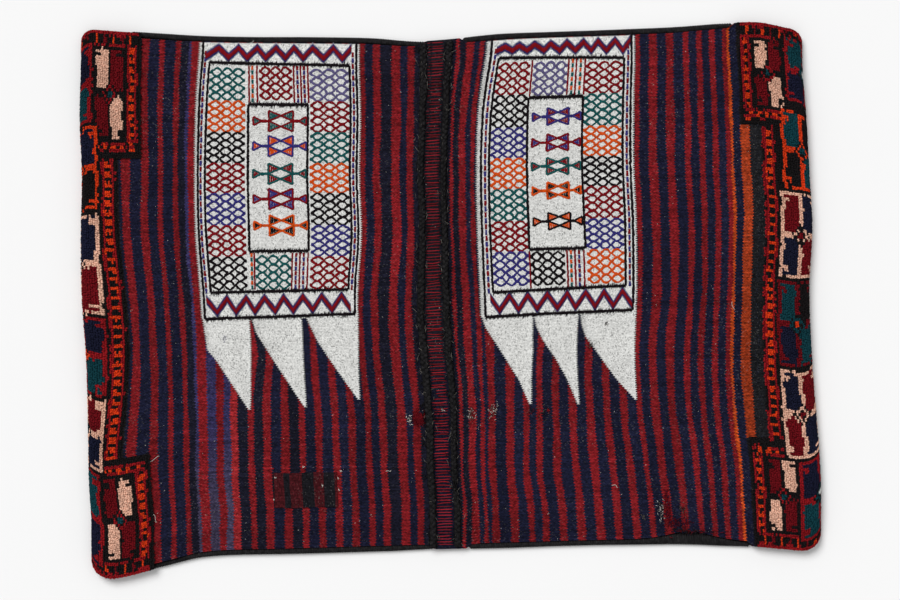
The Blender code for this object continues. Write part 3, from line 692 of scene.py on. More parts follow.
def brocade_material():
    """White cotton floats, with painted small shadows between the picks, deeper where it is worn, and painted
    shade in the grooves between the ribs.
    """
    look = Look("cotton_brocade", 0.95)
    picks = look.noise((520, 640, 1), 1.0)
    # Painted shadow: random cells of the floats are darkened as the shade in the holes between the picks
    hole_shadows = look.cells(0.002, 0.0022)
    shadow_depths = {
        "Factor": look.ranged(look.noise((30, 22, 1)), 0.0, 1.0, 0.42, 0.6),
        "A": look.ranged(hole_shadows, 1.05, 0.6, 0.9, 0.94), "B": look.ranged(hole_shadows, 1.05, 0.54, 0.86, 0.91),
    }
    shade = look.product(
        look.ranged(picks, 0.9, 1.1), look.node("ShaderNodeMix", shadow_depths, "Result", data_type="FLOAT"),
        look.ranged(look.cells(0.0019, 0.0019), 0.75, 1.18, 0.0, 1.0),
        look.ranged(look.noise((16, 10, 1), 3.0), 0.94, 1.03), look.ribs(0.8, 1.06),
    )
    return look.finish(look.yarns(shade), picks, 0.0005, 0.5)


def thread_material():
    """Coloured wool of the brocade's lines."""
    look = Look("brocade_wool", 0.93)
    twist = look.noise((700, 700, 1))
    return look.finish(look.yarns(look.ranged(twist, 0.7, 1.26)), twist, 0.0004, 0.6)


def pile_material():
    """Cut ends of knotted wool."""
    look = Look("wool_pile", 0.95)
    ends = look.noise((520, 520, 1), 3.0)
    shade = look.product(look.ranged(ends, 0.68, 1.3), look.ranged(look.noise((22, 14, 1)), 0.86, 1.14))
    return look.finish(look.yarns(shade), ends, 0.0008, 0.7)


def hair_material():
    """Coarse twisted goat hair, nearly black, with a few brown and grey hairs."""
    look = Look("goat_hair", 0.85)
    hairs = look.noise((900, 240, 1), 3.0)
    lumps = look.ranged(look.noise((150, 150, 1)), 0.55, 1.5)
    shade = look.product(look.ranged(hairs, 0.5, 1.9), lumps)
    return look.finish(look.yarns(shade), hairs, 0.0008, 0.9)


# Striped ground of the back


def stripes(plan, low, high):
    """Edges of the stripes between two places, and their yarns."""
    words = plan.split()
    widths = np.array([int(word[1:]) for word in words], float)
    edges = low + (high - low) * np.r_[0, np.cumsum(widths)] / widths.sum()
    return edges, [YARN_OF[word[0]] for word in words]


def wobble(count, vs, amount, rng):
    """A slow hand-made unevenness for each of several lines along v."""
    out = np.zeros((count, vs.size))
    for length in WOBBLE_LENGTHS:
        phase = rng.uniform(0, 2 * math.pi, (count, 1))
        size = rng.uniform(0.3, 1.0, (count, 1)) * amount * (length / WOBBLE_LENGTHS[0]) ** 0.4
        out += size * np.sin(2 * math.pi * vs / length + phase)
    return out


def trimmed(u, v):
    """v moved in from the outline beside the side cords, and further over the swollen cord."""
    along = u / HALF_LENGTH
    near = np.zeros_like(along)
    for low, high in CORDS.values():
        near += blend(low - CORD_END_STEP, low, along) * (1 - blend(high, high + CORD_END_STEP, along))
    swell = CORD_SWELL * np.exp(-(((u - SWELL_MIDDLE) / SWELL_REACH) ** 2))
    return v * (1 - CORD_WIDTH * near / HALF_WIDTH) + swell * blend(SWELL_INNER, HALF_WIDTH, -v)


def ribbed_cloth(name, edges, colours, saw, seed, material):
    """A part of the back, from side to side, with its warps as ribs and its stripes as columns."""
    rng = np.random.default_rng(seed)
    row = np.arange(ROWS.size)
    on_rib = row % 2 == 1
    u, v = grid_of(edges, ROWS)
    places = np.stack([u, v], -1)
    moved = wobble(edges.size, ROWS, EDGE_WOBBLE, rng)
    moved += saw * np.where(on_rib, np.where(row // 2 % 2 == 0, 1.0, -1.0), 0.0)
    moved += pulled(STRIPE_PULLS, u / HALF_LENGTH, v / HALF_WIDTH)
    moved[[0, -1]] = 0
    u = u + moved
    v = trimmed(u, v)
    outer = lay(u, v, np.where(on_rib, RIB_HEIGHT, -RIB_HEIGHT))
    surface = shell(outer, lay(u, v, -BACK_THICKNESS), colours, places)
    make_piece(name, material, surface)


def striped_field(name, plan, low, high, seed, material):
    """One half of the back. Every stripe is dyed a little differently, and so is every row."""
    edges, names = stripes(plan, low, high)
    rng = np.random.default_rng(seed)
    ribs = np.repeat(rng.uniform(0.86, 1.12, ROW_MIDDLES.size // 2), 2)
    ribs = ribs * np.repeat(rng.uniform(0.9, 1.12, ROW_MIDDLES.size // 4 + 1), 4)[:ribs.size]
    upper, lower = ENDS[1]["reach"]
    beside_block = (ROW_MIDDLES > HALF_WIDTH - upper) | (ROW_MIDDLES < lower - HALF_WIDTH)
    fade = blend(0.2, 0.42, -ROW_MIDDLES)[:, None]
    colours = np.zeros((len(names), ROW_MIDDLES.size, 3))
    for n, name_of_yarn in enumerate(names):
        base = yarn(name_of_yarn)[None, :]
        tone = 1 + 0.1 * rng.uniform(-1, 1) + 0.07 * np.sin(ROW_MIDDLES * 9 + rng.uniform(0, 6))
        tone = tone * ribs * rng.uniform(0.84, 1.16, ROW_MIDDLES.size)
        if name_of_yarn == "plum":
            base = base * (1 - fade) + yarn("faded_plum") * fade
        if name_of_yarn == "kilim_orange" and edges[n + 1] - edges[n] > WIDE_STRIPE:
            base = np.where(beside_block[:, None], yarn("black"), base)
        colours[n] = base * tone[:, None]
    ribbed_cloth(name, edges, colours, SAW, seed, material)


def bridge_cloth(material):
    """Dark ground of the narrow bridge, bluer towards its lower end."""
    edges = np.array([BRIDGE_LEFT, *LADDER, BRIDGE_RIGHT])
    blue = blend(0.05, 0.25, -ROW_MIDDLES)[None, :, None]
    dark = yarn("charcoal") * 0.6 + yarn("deep_navy") * 0.2
    ground = dark * (1 - blue) + yarn("deep_navy") * 0.62 * blue
    ribbed_cloth("bridge", edges, np.repeat(ground, edges.size - 1, axis=0), 0.0, 5, material)


# Folded ends and faces of the pockets


def pocket_face(name, side, material):
    """The cloth from the pile band of the back, round the fold and under the bag to the mouth."""
    start = HALF_LENGTH - ENDS[side]["band"]
    slit_high = STRIP_END - SLIT_FROM_MOUTH
    slit_low = slit_high - SLIT_LENGTH
    lows = (start, FOLD_START, FACE_START, slit_high)
    highs = (FOLD_START, FACE_START, slit_low, STRIP_END)
    runs = np.unique(np.concatenate([np.linspace(*part) for part in zip(lows, highs, FACE_STEPS)]))
    slit_middles = HALF_WIDTH * (2 * (np.arange(SLITS) + 0.5) / SLITS - 1)
    cuts = np.concatenate([slit_middles - SLIT_WIDTH / 2, slit_middles + SLIT_WIDTH / 2])
    vs = np.unique(np.r_[np.linspace(-HALF_WIDTH, HALF_WIDTH, FACE_COLUMNS), cuts])
    us = (side * runs)[::side]
    u, v = grid_of(us, vs)
    places = np.stack([u, v], -1)
    v = trimmed(np.where(np.abs(u) > FACE_START, side * (FACE_START + FOLD_START - np.abs(u)), u), v)
    mid_run = (np.abs(us[1:]) + np.abs(us[:-1])) / 2
    mid_v = (vs[1:] + vs[:-1]) / 2
    in_slit = (mid_run > slit_low) & (mid_run < slit_high)
    slit_row = np.min(np.abs(mid_v[:, None] - slit_middles), axis=1) < SLIT_WIDTH / 2
    keep = ~(in_slit[:, None] & slit_row)
    surface = shell(lay(u, v), inner_side(u, v), face_colours(mid_run, mid_v), places, keep)
    make_piece(name, material, surface)


def face_colours(runs, vs):
    """Colours of the hidden faces: pile band at the foot, wide stripes above it."""
    colours = np.zeros((runs.size, vs.size, 3))
    beads = np.where((np.floor(vs / FACE_BEAD) % 2 == 0)[:, None], yarn("orange") * 0.7, yarn("black"))
    for n, past in enumerate(runs - FACE_START - PILE_FACE_DEPTH):
        if past > 0:
            colours[n] = yarn(FACE_STRIPES[int(past / FACE_STRIPE) % len(FACE_STRIPES)])
        else:
            colours[n] = beads if past > -FACE_GUARD else yarn("crimson") * 0.7
    return colours


# Knotted pile


class Knots:
    """The knots of one end, painted with fields in metres. d is the way in from the bag's end."""

    def __init__(self, d, v):
        self.d = d
        self.v = v
        self.colour = np.tile(yarn("black"), (*d.shape, 1))

    def rect(self, name, d0, v0, d1, v1):
        in_d = (self.d >= min(d0, d1)) & (self.d < max(d0, d1))
        in_v = (self.v >= min(v0, v1)) & (self.v < max(v0, v1))
        self.colour[in_d & in_v] = yarn(name)

    def diamond(self, name, d, v, reach_d, reach_v):
        hit = np.abs(self.d - d) / reach_d + np.abs(self.v - v) / reach_v < 1
        self.colour[hit] = yarn(name)

    def guard_across(self, d0, d1, v0, v1):
        """Guard stripe along v: two red lines, with orange and black squares between them."""
        self.rect("madder", d0, v0, d1, v1)
        inset = 1.15 * KNOT_ALONG
        low, high = sorted((v0, v1))
        for n in range(int((high - low) / BEAD) + 1):
            at = high - n * BEAD
            self.rect("black", d0 + 1.3 * inset, at, d1 - 1.3 * inset, max(low, at - BEAD_DARK))
            self.rect("orange", d0 + inset, at - BEAD_DARK, d1 - inset, max(low, at - BEAD))

    def guard_along(self, d0, d1, v0, v1, dark=BEAD_DARK):
        """Guard stripe along d, with its squares set along it."""
        self.rect("madder", d0, v0, d1, v1)
        low, high = sorted((d0, d1))
        foot, top = sorted((v0, v1))
        inset = 0.75 * KNOT_ACROSS
        for n in range(int((high - low) / BEAD) + 1):
            at = high - n * BEAD
            self.rect("black", at, foot + inset, max(low, at - dark), top - inset)
            lit = "crimson" if dark > BEAD_DARK and n % 2 else "orange"
            self.rect(lit, at - dark, foot + inset, max(low, at - BEAD), top - inset)

    def compartment(self, box, ground, quarters, centre, frame, ring):
        """Four notched quarters round a small medallion: outer upper, inner upper, outer lower
        and inner lower."""
        d0, v0, d1, v1 = box
        frame_width, bar = frame
        k, c = KNOT_ALONG, KNOT_ACROSS
        self.rect("black", d0 - k, v0 - 0.7 * c, d1 + k, v1 + 0.7 * c)
        self.rect(ground, *box)
        dm, vm = (d0 + d1) / 2, (v0 + v1) / 2
        for n, name in enumerate(quarters):
            outer, upper = n in (0, 2), n < 2
            side_d, side_v = (-1 if outer else 1), (1 if upper else -1)
            near = (dm + side_d * bar / 2, vm + side_v * 1.1 * c)
            far = (d0 + frame_width if outer else d1 - frame_width,
                   v1 - 0.7 * frame_width if upper else v0 + 0.7 * frame_width)
            self.rect(name, *near, *far)
            notch = far[1] - side_v * 1.1 * c
            self.rect(ground, far[0], notch, far[0] - side_d * 2.8 * k, notch - side_v * 1.4 * c)
            self.rect(ground, *near, near[0] + side_d * 1.6 * k, near[1] + side_v * 0.8 * c)
        self.diamond("black", dm, vm, 4.8 * k, 3.8 * c)
        self.diamond(ring, dm, vm, 3.9 * k, 2.9 * c)
        self.diamond("black", dm, vm, 2.6 * k, 2.0 * c)
        self.rect(centre, dm - 1.2 * k, vm - 0.9 * c, dm + 1.2 * k, vm + 0.9 * c)

    def corner(self, side, sign, inner, outer, guard, reach):
        """A corner block. outer to inner is its compartment, and reach is its length along v."""
        edge = sign * (HALF_WIDTH + PAST_EDGE)
        low = sign * (HALF_WIDTH - reach)
        first = sign * (HALF_WIDTH - SIDE_GUARD)
        last = low + sign * FOOT_GUARD
        foot_line = low + sign * FOOT_LINE
        inmost = inner + guard
        self.rect("black", -PAST_END, edge, inmost + 2 * PAST_EDGE, low)
        self.guard_across(inner + 0.006, inmost, edge, foot_line)
        self.guard_along(outer + 0.01, inmost, last - sign * 0.002, foot_line)
        self.guard_along(-PAST_END, inmost, edge, first, SIDE_GUARD_DARK)
        self.rect("madder", -PAST_END, edge, inmost, sign * (HALF_WIDTH - SIDE_LINE))
        foot, top = sorted((first - sign * 0.003, last + sign * 0.004))
        pair = ("pink", "crimson") if side * sign < 0 else ("crimson", "pink")
        box = (outer, foot, inner, top)
        self.compartment(box, "black", (*pair, *pair[::-1]), "teal", CORNER_FRAME, "madder")

    def end(self, side):
        """All blocks and compartments of one end."""
        plan = ENDS[side]
        upper, lower = plan["reach"]
        self.guard_across(*plan["guard"], lower - HALF_WIDTH, HALF_WIDTH - upper)
        self.corner(side, 1, *plan["corner"], upper)
        self.corner(side, -1, *plan["corner"], lower)
        for n, (top, foot, inward, ground, quarters, centre, ring) in enumerate(plan["boxes"]):
            d0, d1 = plan["corner_span" if n in (0, len(plan["boxes"]) - 1) else "span"]
            box = (d0 + inward, foot, d1 + inward, top)
            self.compartment(box, ground, quarters.split(), centre, BAND_FRAME, ring)


def unevenness(u, v, seed):
    """Slow wandering of the knots' rows and columns."""
    a = np.sin(71 * v + seed) + 0.6 * np.sin(163 * v + 2.1 * seed + 40 * u)
    b = np.sin(88 * u + 1.7 * seed) + 0.6 * np.sin(141 * u + seed + 33 * v)
    return 0.0009 * a, 0.0012 * b


def pile_end(name, side, seed, material):
    """Knotted pile of one end: a ground of knots and two cut yarn ends on each."""
    rng = np.random.default_rng(seed)
    start = HALF_LENGTH - ENDS[side]["block"]
    runs = np.linspace(start, FACE_START - 0.004, round((FACE_START - start) / KNOT_ALONG) + 1)
    vs = np.linspace(-HALF_WIDTH, HALF_WIDTH, round(2 * HALF_WIDTH / KNOT_ACROSS) + 1)
    run, v = grid_of((runs[1:] + runs[:-1]) / 2, (vs[1:] + vs[:-1]) / 2)
    stray_d = rng.uniform(-0.5, 0.5, run.shape) * KNOT_ALONG
    stray_v = rng.uniform(-0.5, 0.5, run.shape) * KNOT_ACROSS
    slow_d, slow_v = unevenness(run, v, seed)
    knots = Knots(HALF_LENGTH - run + slow_d + STRAY * stray_d, v + slow_v + STRAY * stray_v)
    knots.end(side)
    upper, lower = ENDS[side]["reach"]
    in_block = (v > HALF_WIDTH - upper) | (v < -HALF_WIDTH + lower)
    keep = (run > HALF_LENGTH - ENDS[side]["band"]) | in_block
    u_grid, v_grid = grid_of(side * runs, vs)
    layers = (
        lay(u_grid, v_grid, KNOT_GROUND * PILE_RAISE), lay(u_grid, v_grid, -KNOT_SINK),
        knots.colour * KNOT_GROUND_SHADE, np.stack([u_grid, v_grid], -1), keep,
    )
    ground = shell(*(layer[::side] for layer in layers))
    tufts = cut_ends(run, v, keep, knots.colour, side, rng)
    make_piece(name, material, joined([ground, tufts]))


def cut_ends(run, v, keep, colours, side, rng):
    """Two cut yarn ends for each knot, leaning a little and opened at the tip."""
    i, j = np.nonzero(keep & (run < FOLD_START + PILE_PAST_FOLD * FOLD_LENGTH))
    border = np.zeros(keep.shape, bool)
    border[0] = True
    border[1:] |= ~keep[:-1]
    border[:, 1:] |= ~keep[:, :-1]
    border[:, :-1] |= ~keep[:, 1:]
    on_border = np.tile(border[i, j], 2)
    colour = np.tile(colours[i, j], (2, 1))
    run = np.tile(run[i, j], 2)
    v = np.concatenate([v[i, j] - KNOT_ACROSS / 4, v[i, j] + KNOT_ACROSS / 4])
    count = run.size
    run = run + rng.uniform(-0.24, 0.24, count) * KNOT_ALONG
    run = run - np.where(on_border, rng.uniform(0.0, 0.9, count), 0.0) * KNOT_ALONG
    v = v + rng.uniform(-0.12, 0.12, count) * KNOT_ACROSS
    v = np.clip(v, -HALF_WIDTH + 0.001, HALF_WIDTH - 0.001)
    turn = rng.uniform(0, 2 * math.pi, count)
    lean_run = rng.uniform(-0.0008, 0.0008, count)
    lean_v = rng.uniform(-0.0011, 0.0004, count)
    height = PILE_RAISE * rng.uniform(0.8, 1.03, count)
    height = height * np.where(on_border, rng.uniform(0.55, 0.95, count), 1.0)
    rings = []
    for share, level in TUFT_RINGS:
        for corner in range(4):
            angle = turn + corner * math.pi / 2
            du = share * TUFT_REACH[0] * np.cos(angle) + lean_run * level
            dv = share * TUFT_REACH[1] * np.sin(angle) + lean_v * level
            rings.append(lay(side * (run + du), v + dv, height * level))
    tip = lay(side * (run + lean_run), v + lean_v, height)
    points = np.stack([*rings, tip], axis=1)
    places = np.stack([side * run, v], -1)[:, None, :] + (points[:, :, :2] - points[:, 8:, :2])
    faces = []
    for k in range(4):
        n = (k + 1) % 4
        faces += [(k, n, 4 + n), (k, 4 + n, 4 + k), (4 + k, 4 + n, 8)]
    faces = np.array(faces)[:, ::side]
    all_faces = (faces + np.arange(count)[:, None, None] * 9).reshape(-1, 3)
    tone = rng.uniform(0.78, 1.18, count)
    tints = np.repeat(colour * tone[:, None], len(faces), axis=0)
    return points.reshape(-1, 3), all_faces, tints, places.reshape(-1, 2)


# Yarn lines laid on the cloth


def across_of(us, vs):
    """Direction across a line, at each of its places."""
    along_u, along_v = np.gradient(us), np.gradient(vs)
    length = np.hypot(along_u, along_v) + 1e-9
    return -along_v / length, along_u / length


def tube(us, vs, across, ring, corners_of, caps):
    """Points, faces and flat places of a closed tube along flat places.

    ring says how far off and how high each of the lines along the tube is.
    """
    around = len(ring)
    lines = [
        np.stack([us + across[0] * off, vs + across[1] * off, np.broadcast_to(level, us.size)], -1)
        for off, level in ring
    ]
    flat = np.stack(lines, 1).reshape(-1, 3)
    start = around * np.arange(us.size - 1)[:, None]
    sides = [start + corners_of(k, (k + 1) % around) for k in range(around)]
    points = lay(flat[:, 0], flat[:, 1], flat[:, 2])
    return points, np.concatenate([*sides, caps]), flat[:, :2]


def square_tube(us, vs, across, ring):
    last = 4 * (us.size - 1)
    caps = [[0, 1, 2, 3], [last + 3, last + 2, last + 1, last]]
    return tube(us, vs, across, ring, lambda k, n: np.array([k, k + 4, n + 4, n]), caps)


def strand(us, vs, widths, colours, low, high, crown=0.55):
    """A flattened yarn along flat places: a tube four points round, closed at its ends."""
    ring = [
        (share * widths / 2, level)
        for share, level in ((-1.0, low), (-crown, high), (crown, high), (1.0, low))
    ]
    points, faces, flat = square_tube(us, vs, across_of(us, vs), ring)
    colours = np.broadcast_to(colours, (us.size - 1, 3))
    return points, faces, np.concatenate([np.tile(colours, (4, 1)), colours[:1], colours[-1:]]), flat


def round_strand(us, vs, widths, low, thickness, colours):
    """A plump strand, six points round."""
    angles = [math.pi + k * math.pi / 3 for k in range(6)]
    ring = [
        (math.cos(angle) * widths / 2, low + (math.sin(angle) + 1) / 2 * thickness) for angle in angles
    ]
    last = 6 * (us.size - 1)
    fans = [[0, 3, 2, 1], [0, 5, 4, 3]]
    caps = fans + [[last, last + n, last + n + 1, last + n + 2] for n in (1, 3)]
    points, faces, flat = tube(
        us, vs, across_of(us, vs), ring, lambda k, n: np.array([k, n, n + 6, k + 6]), caps)
    return points, faces, np.concatenate([np.tile(colours, (6, 1)), colours[[0, 0, -1, -1]]]), flat


def between(start, end, share):
    return start[0] + (end[0] - start[0]) * share, start[1] + (end[1] - start[1]) * share


class Threads:
    """Brocade lines of one panel, drawn on its white floats."""

    def __init__(self, seed):
        self.rng = np.random.default_rng(seed)
        self.parts = []

    def stitch(self, us, vs, widths, colours, lift=0.0):
        self.parts.append(strand(us, vs, widths, colours, LINE_LOW, LINE_HIGH + lift))

    def shaded(self, name, count):
        return yarn(name) * self.rng.uniform(0.82, 1.16, count)[:, None]

    def line(self, start, end, name, width, shake=0.0003, lift=0.0, step=LINE_STEP):
        """A line of small stitches from one place to another."""
        count = max(3, round(math.dist(start, end) / step) + 1)
        us, vs = between(start, end, np.linspace(0, 1, count))
        us = us + self.rng.normal(0, shake, count)
        vs = vs + self.rng.normal(0, 0.5 * shake, count)
        widths = width * self.rng.uniform(0.78, 1.2, count)
        self.stitch(us, vs, widths, self.shaded(name, count - 1), lift)

    def dashed(self, start, end, names, width, dash):
        """A line whose yarn changes with each dash."""
        count = max(2, round(math.dist(start, end) / dash))
        for n in range(count):
            low, high = between(start, end, (n + 0.06) / count), between(start, end, (n + 0.94) / count)
            self.line(low, high, names[n % len(names)], width, shake=0.0002)

    def ragged(self, start, end, width=RAGGED_LINE):
        """A thick black line across the wefts: a core with slanting stitches over it."""
        self.line(start, end, "thread_black", 0.74 * width, shake=0.00045)
        count = round(abs(end[0] - start[0]) / RAGGED_STEP)
        for n in range(count):
            u, v = between(start, end, (n + self.rng.uniform(0.2, 0.8)) / count)
            reach = 0.5 * width * self.rng.uniform(0.6, 1.3)
            v = v + self.rng.normal(0, 0.14 * width)
            lean = self.rng.uniform(0.0004, 0.0016)
            us, vs = np.array([u - lean, u, u + lean]), np.array([v - reach, v, v + reach])
            self.stitch(us, vs, np.array([0.0008, 0.0025, 0.0008]), yarn("thread_black"), 0.0002)

    def net(self, u0, u1, v0, v1, name):
        """A lattice of crossing zigzags: three lozenges wide and four high."""
        pitch = (v1 - v0) / NET_ROWS
        t = np.linspace(0, 1, 8 * NET_LOZENGES + 1)
        wave = 1 - 2 * np.abs((t * NET_LOZENGES) % 1 - 0.5)
        arch = 0.15 * wave + 0.85 * np.sin(0.5 * math.pi * wave)
        loop = np.linspace(-1, 1, 5)
        for row in range(NET_ROWS):
            middle = v0 + (row + 0.5) * pitch
            for sign in (-1, 1):
                us = u0 + (u1 - u0) * t + self.rng.normal(0, 0.0005, t.size)
                vs = middle + sign * 0.5 * pitch * (1.04 * arch - 0.04)
                vs = vs + self.rng.normal(0, 0.00045, t.size)
                widths = NET_LINE * self.rng.uniform(0.66, 1.2, t.size)
                self.stitch(us, vs, widths, self.shaded(name, t.size - 1), 0.0002 * (sign + 1))
            for end, out in ((u0, -1), (u1, 1)):
                us = end + out * 0.0016 * (1 - loop**2) - out * 0.0004
                self.stitch(us, middle + 0.0024 * loop, NET_LINE * 0.9, yarn(name))

    def zigzag(self, u0, u1, high, low, count, lag):
        """The thick red zigzag with its blue edges, over a grey band of painted shadow. high and low give v
        at both ends.

        lag is how far the turns near its beginning are late.
        """
        turns = np.linspace(u0, u1, count)
        late = 1 - np.exp(-(turns - u0) / ZIGZAG_SETTLE)
        turns += lag * late * np.clip((u1 - turns) / (u1 - u0), 0, 1)
        turns[1:-1] += self.rng.uniform(-0.0016, 0.0016, count - 2)
        share = (turns - u0) / (u1 - u0)
        highs = high[0] + (high[1] - high[0]) * share
        lows = low[0] + (low[1] - low[0]) * share
        pieces = [np.linspace(a, b, 9)[:-1] for a, b in zip(turns[:-1], turns[1:])]
        us = np.concatenate([*pieces, turns[-1:]])
        vs = np.interp(us, turns, np.where(np.arange(count) % 2 == 0, lows, highs))
        for name, thickness, lift in ZIGZAG_LAYERS:
            self.band(us, vs, thickness, name, LINE_HIGH + lift)

    def band(self, us, vs, thickness, name, high):
        """A filled band of an even thickness along v."""
        ragged = self.rng.uniform(-0.0009, 0.0009, (2, us.size))
        ring = [
            (share * thickness + ragged[int(share > 0)], level)
            for share, level in ((-0.5, LINE_LOW), (-0.42, high), (0.42, high), (0.5, LINE_LOW))
        ]
        points, faces, flat = square_tube(us, vs, (0.0, 1.0), ring)
        self.parts.append((points, faces, self.shaded(name, len(faces)), flat))

    def filled(self, first, second, apex, name):
        """A filled triangle, worked as close lines across it."""
        rows = 5
        height = math.dist(apex, between(first, second, 0.5))
        for n in range(rows):
            share = (n + 0.5) / rows
            low, high = between(first, apex, share), between(second, apex, share)
            self.line(low, high, name, 1.32 * height / rows, 0.00015, -0.0003, 0.003)

    def motif(self, u, v, half_u, half_v, edge_yarn, fill_yarn, darts):
        """A diamond between two hourglasses, with an arm and a dart on each side."""
        cross = MOTIF_CROSSING * half_v
        corners = [(up, side) for up in (-1, 1) for side in (-1, 1)]
        for up, side in corners:
            edge = u + side * half_u
            apex = (u + side * 0.12 * half_u, v + up * cross)
            self.filled((edge, v + up * half_v), (edge, v + up * 0.05 * half_v), apex, fill_yarn)
        lines = []
        for up, side in corners:
            edge = u + side * half_u
            lines.append(((edge, v + up * half_v), (u - side * 0.05 * half_u, v + up * cross * 0.96)))
            lines.append(((u, v + up * cross), (edge, v)))
        for start, end in lines:
            self.line(start, end, edge_yarn, MOTIF_LINE)
        for side, dart in zip((-1, 1), darts):
            edge = u + side * half_u
            apex = (u + side * (dart - DART_LENGTH), v)
            upper, lower = (u + side * dart, v + DART_HALF), (u + side * dart, v - DART_HALF)
            self.line((edge, v - half_v), (edge, v + half_v), edge_yarn, MOTIF_LINE)
            self.filled(upper, lower, apex, fill_yarn)
            self.line((edge, v), apex, edge_yarn, 1.5 * MOTIF_LINE)
            for start, end in ((apex, lower), (apex, upper), (lower, upper)):
                self.line(start, end, edge_yarn, MOTIF_LINE)

    def piece(self, name, material):
        make_piece(name, material, joined(self.parts))


# White panels


def white_span(rows, lefts, rights, columns, rng):
    """Grid of white floats between two ragged edges."""
    count = rows.size
    tooth = np.cos(2 * math.pi * np.arange(count) / 3) * FLOAT_TOOTH
    left = lefts - tooth + rng.uniform(-0.0003, 0.0003, count)
    right = rights + tooth + rng.uniform(-0.0003, 0.0003, count)
    u = left + (right - left) * np.linspace(0, 1, columns)[:, None]
    v = np.broadcast_to(rows, u.shape)
    rib = np.where(np.arange(count) % 2 == 0, 0.00012, -0.00012)
    outer = lay(u, trimmed(u, v), BROCADE_RAISE + rib)
    inner = lay(u, trimmed(u, v), -0.0003)
    tone = rng.uniform(0.95, 1.03, (1, count - 1, 1)) * rng.uniform(0.97, 1.02, (columns - 1, count - 1, 1))
    return shell(outer, inner, yarn("white") * tone, np.stack([u, v], -1), wall_shade=0.9)


def white_panel(name, panel, seed, material):
    """A white panel and its three hanging flags."""
    rng = np.random.default_rng(seed)
    left, right = panel["sides"]
    rows = np.arange(min(panel["foot"]) - 0.001, HALF_WIDTH - 0.001, FLOAT_ROW)
    parts = [white_span(rows, left, right, PANEL_COLUMNS, rng)]
    for flag in panel["flags"]:
        places, lefts, rights = np.array(flag).T
        rows = np.arange(places[0] + 0.002, places[-1], -FLOAT_ROW)[::-1]
        sides = [np.interp(-rows, -places, side) for side in (lefts, rights)]
        parts.append(white_span(rows, *sides, FLAG_COLUMNS, rng))
    make_piece(name, material, joined(parts))


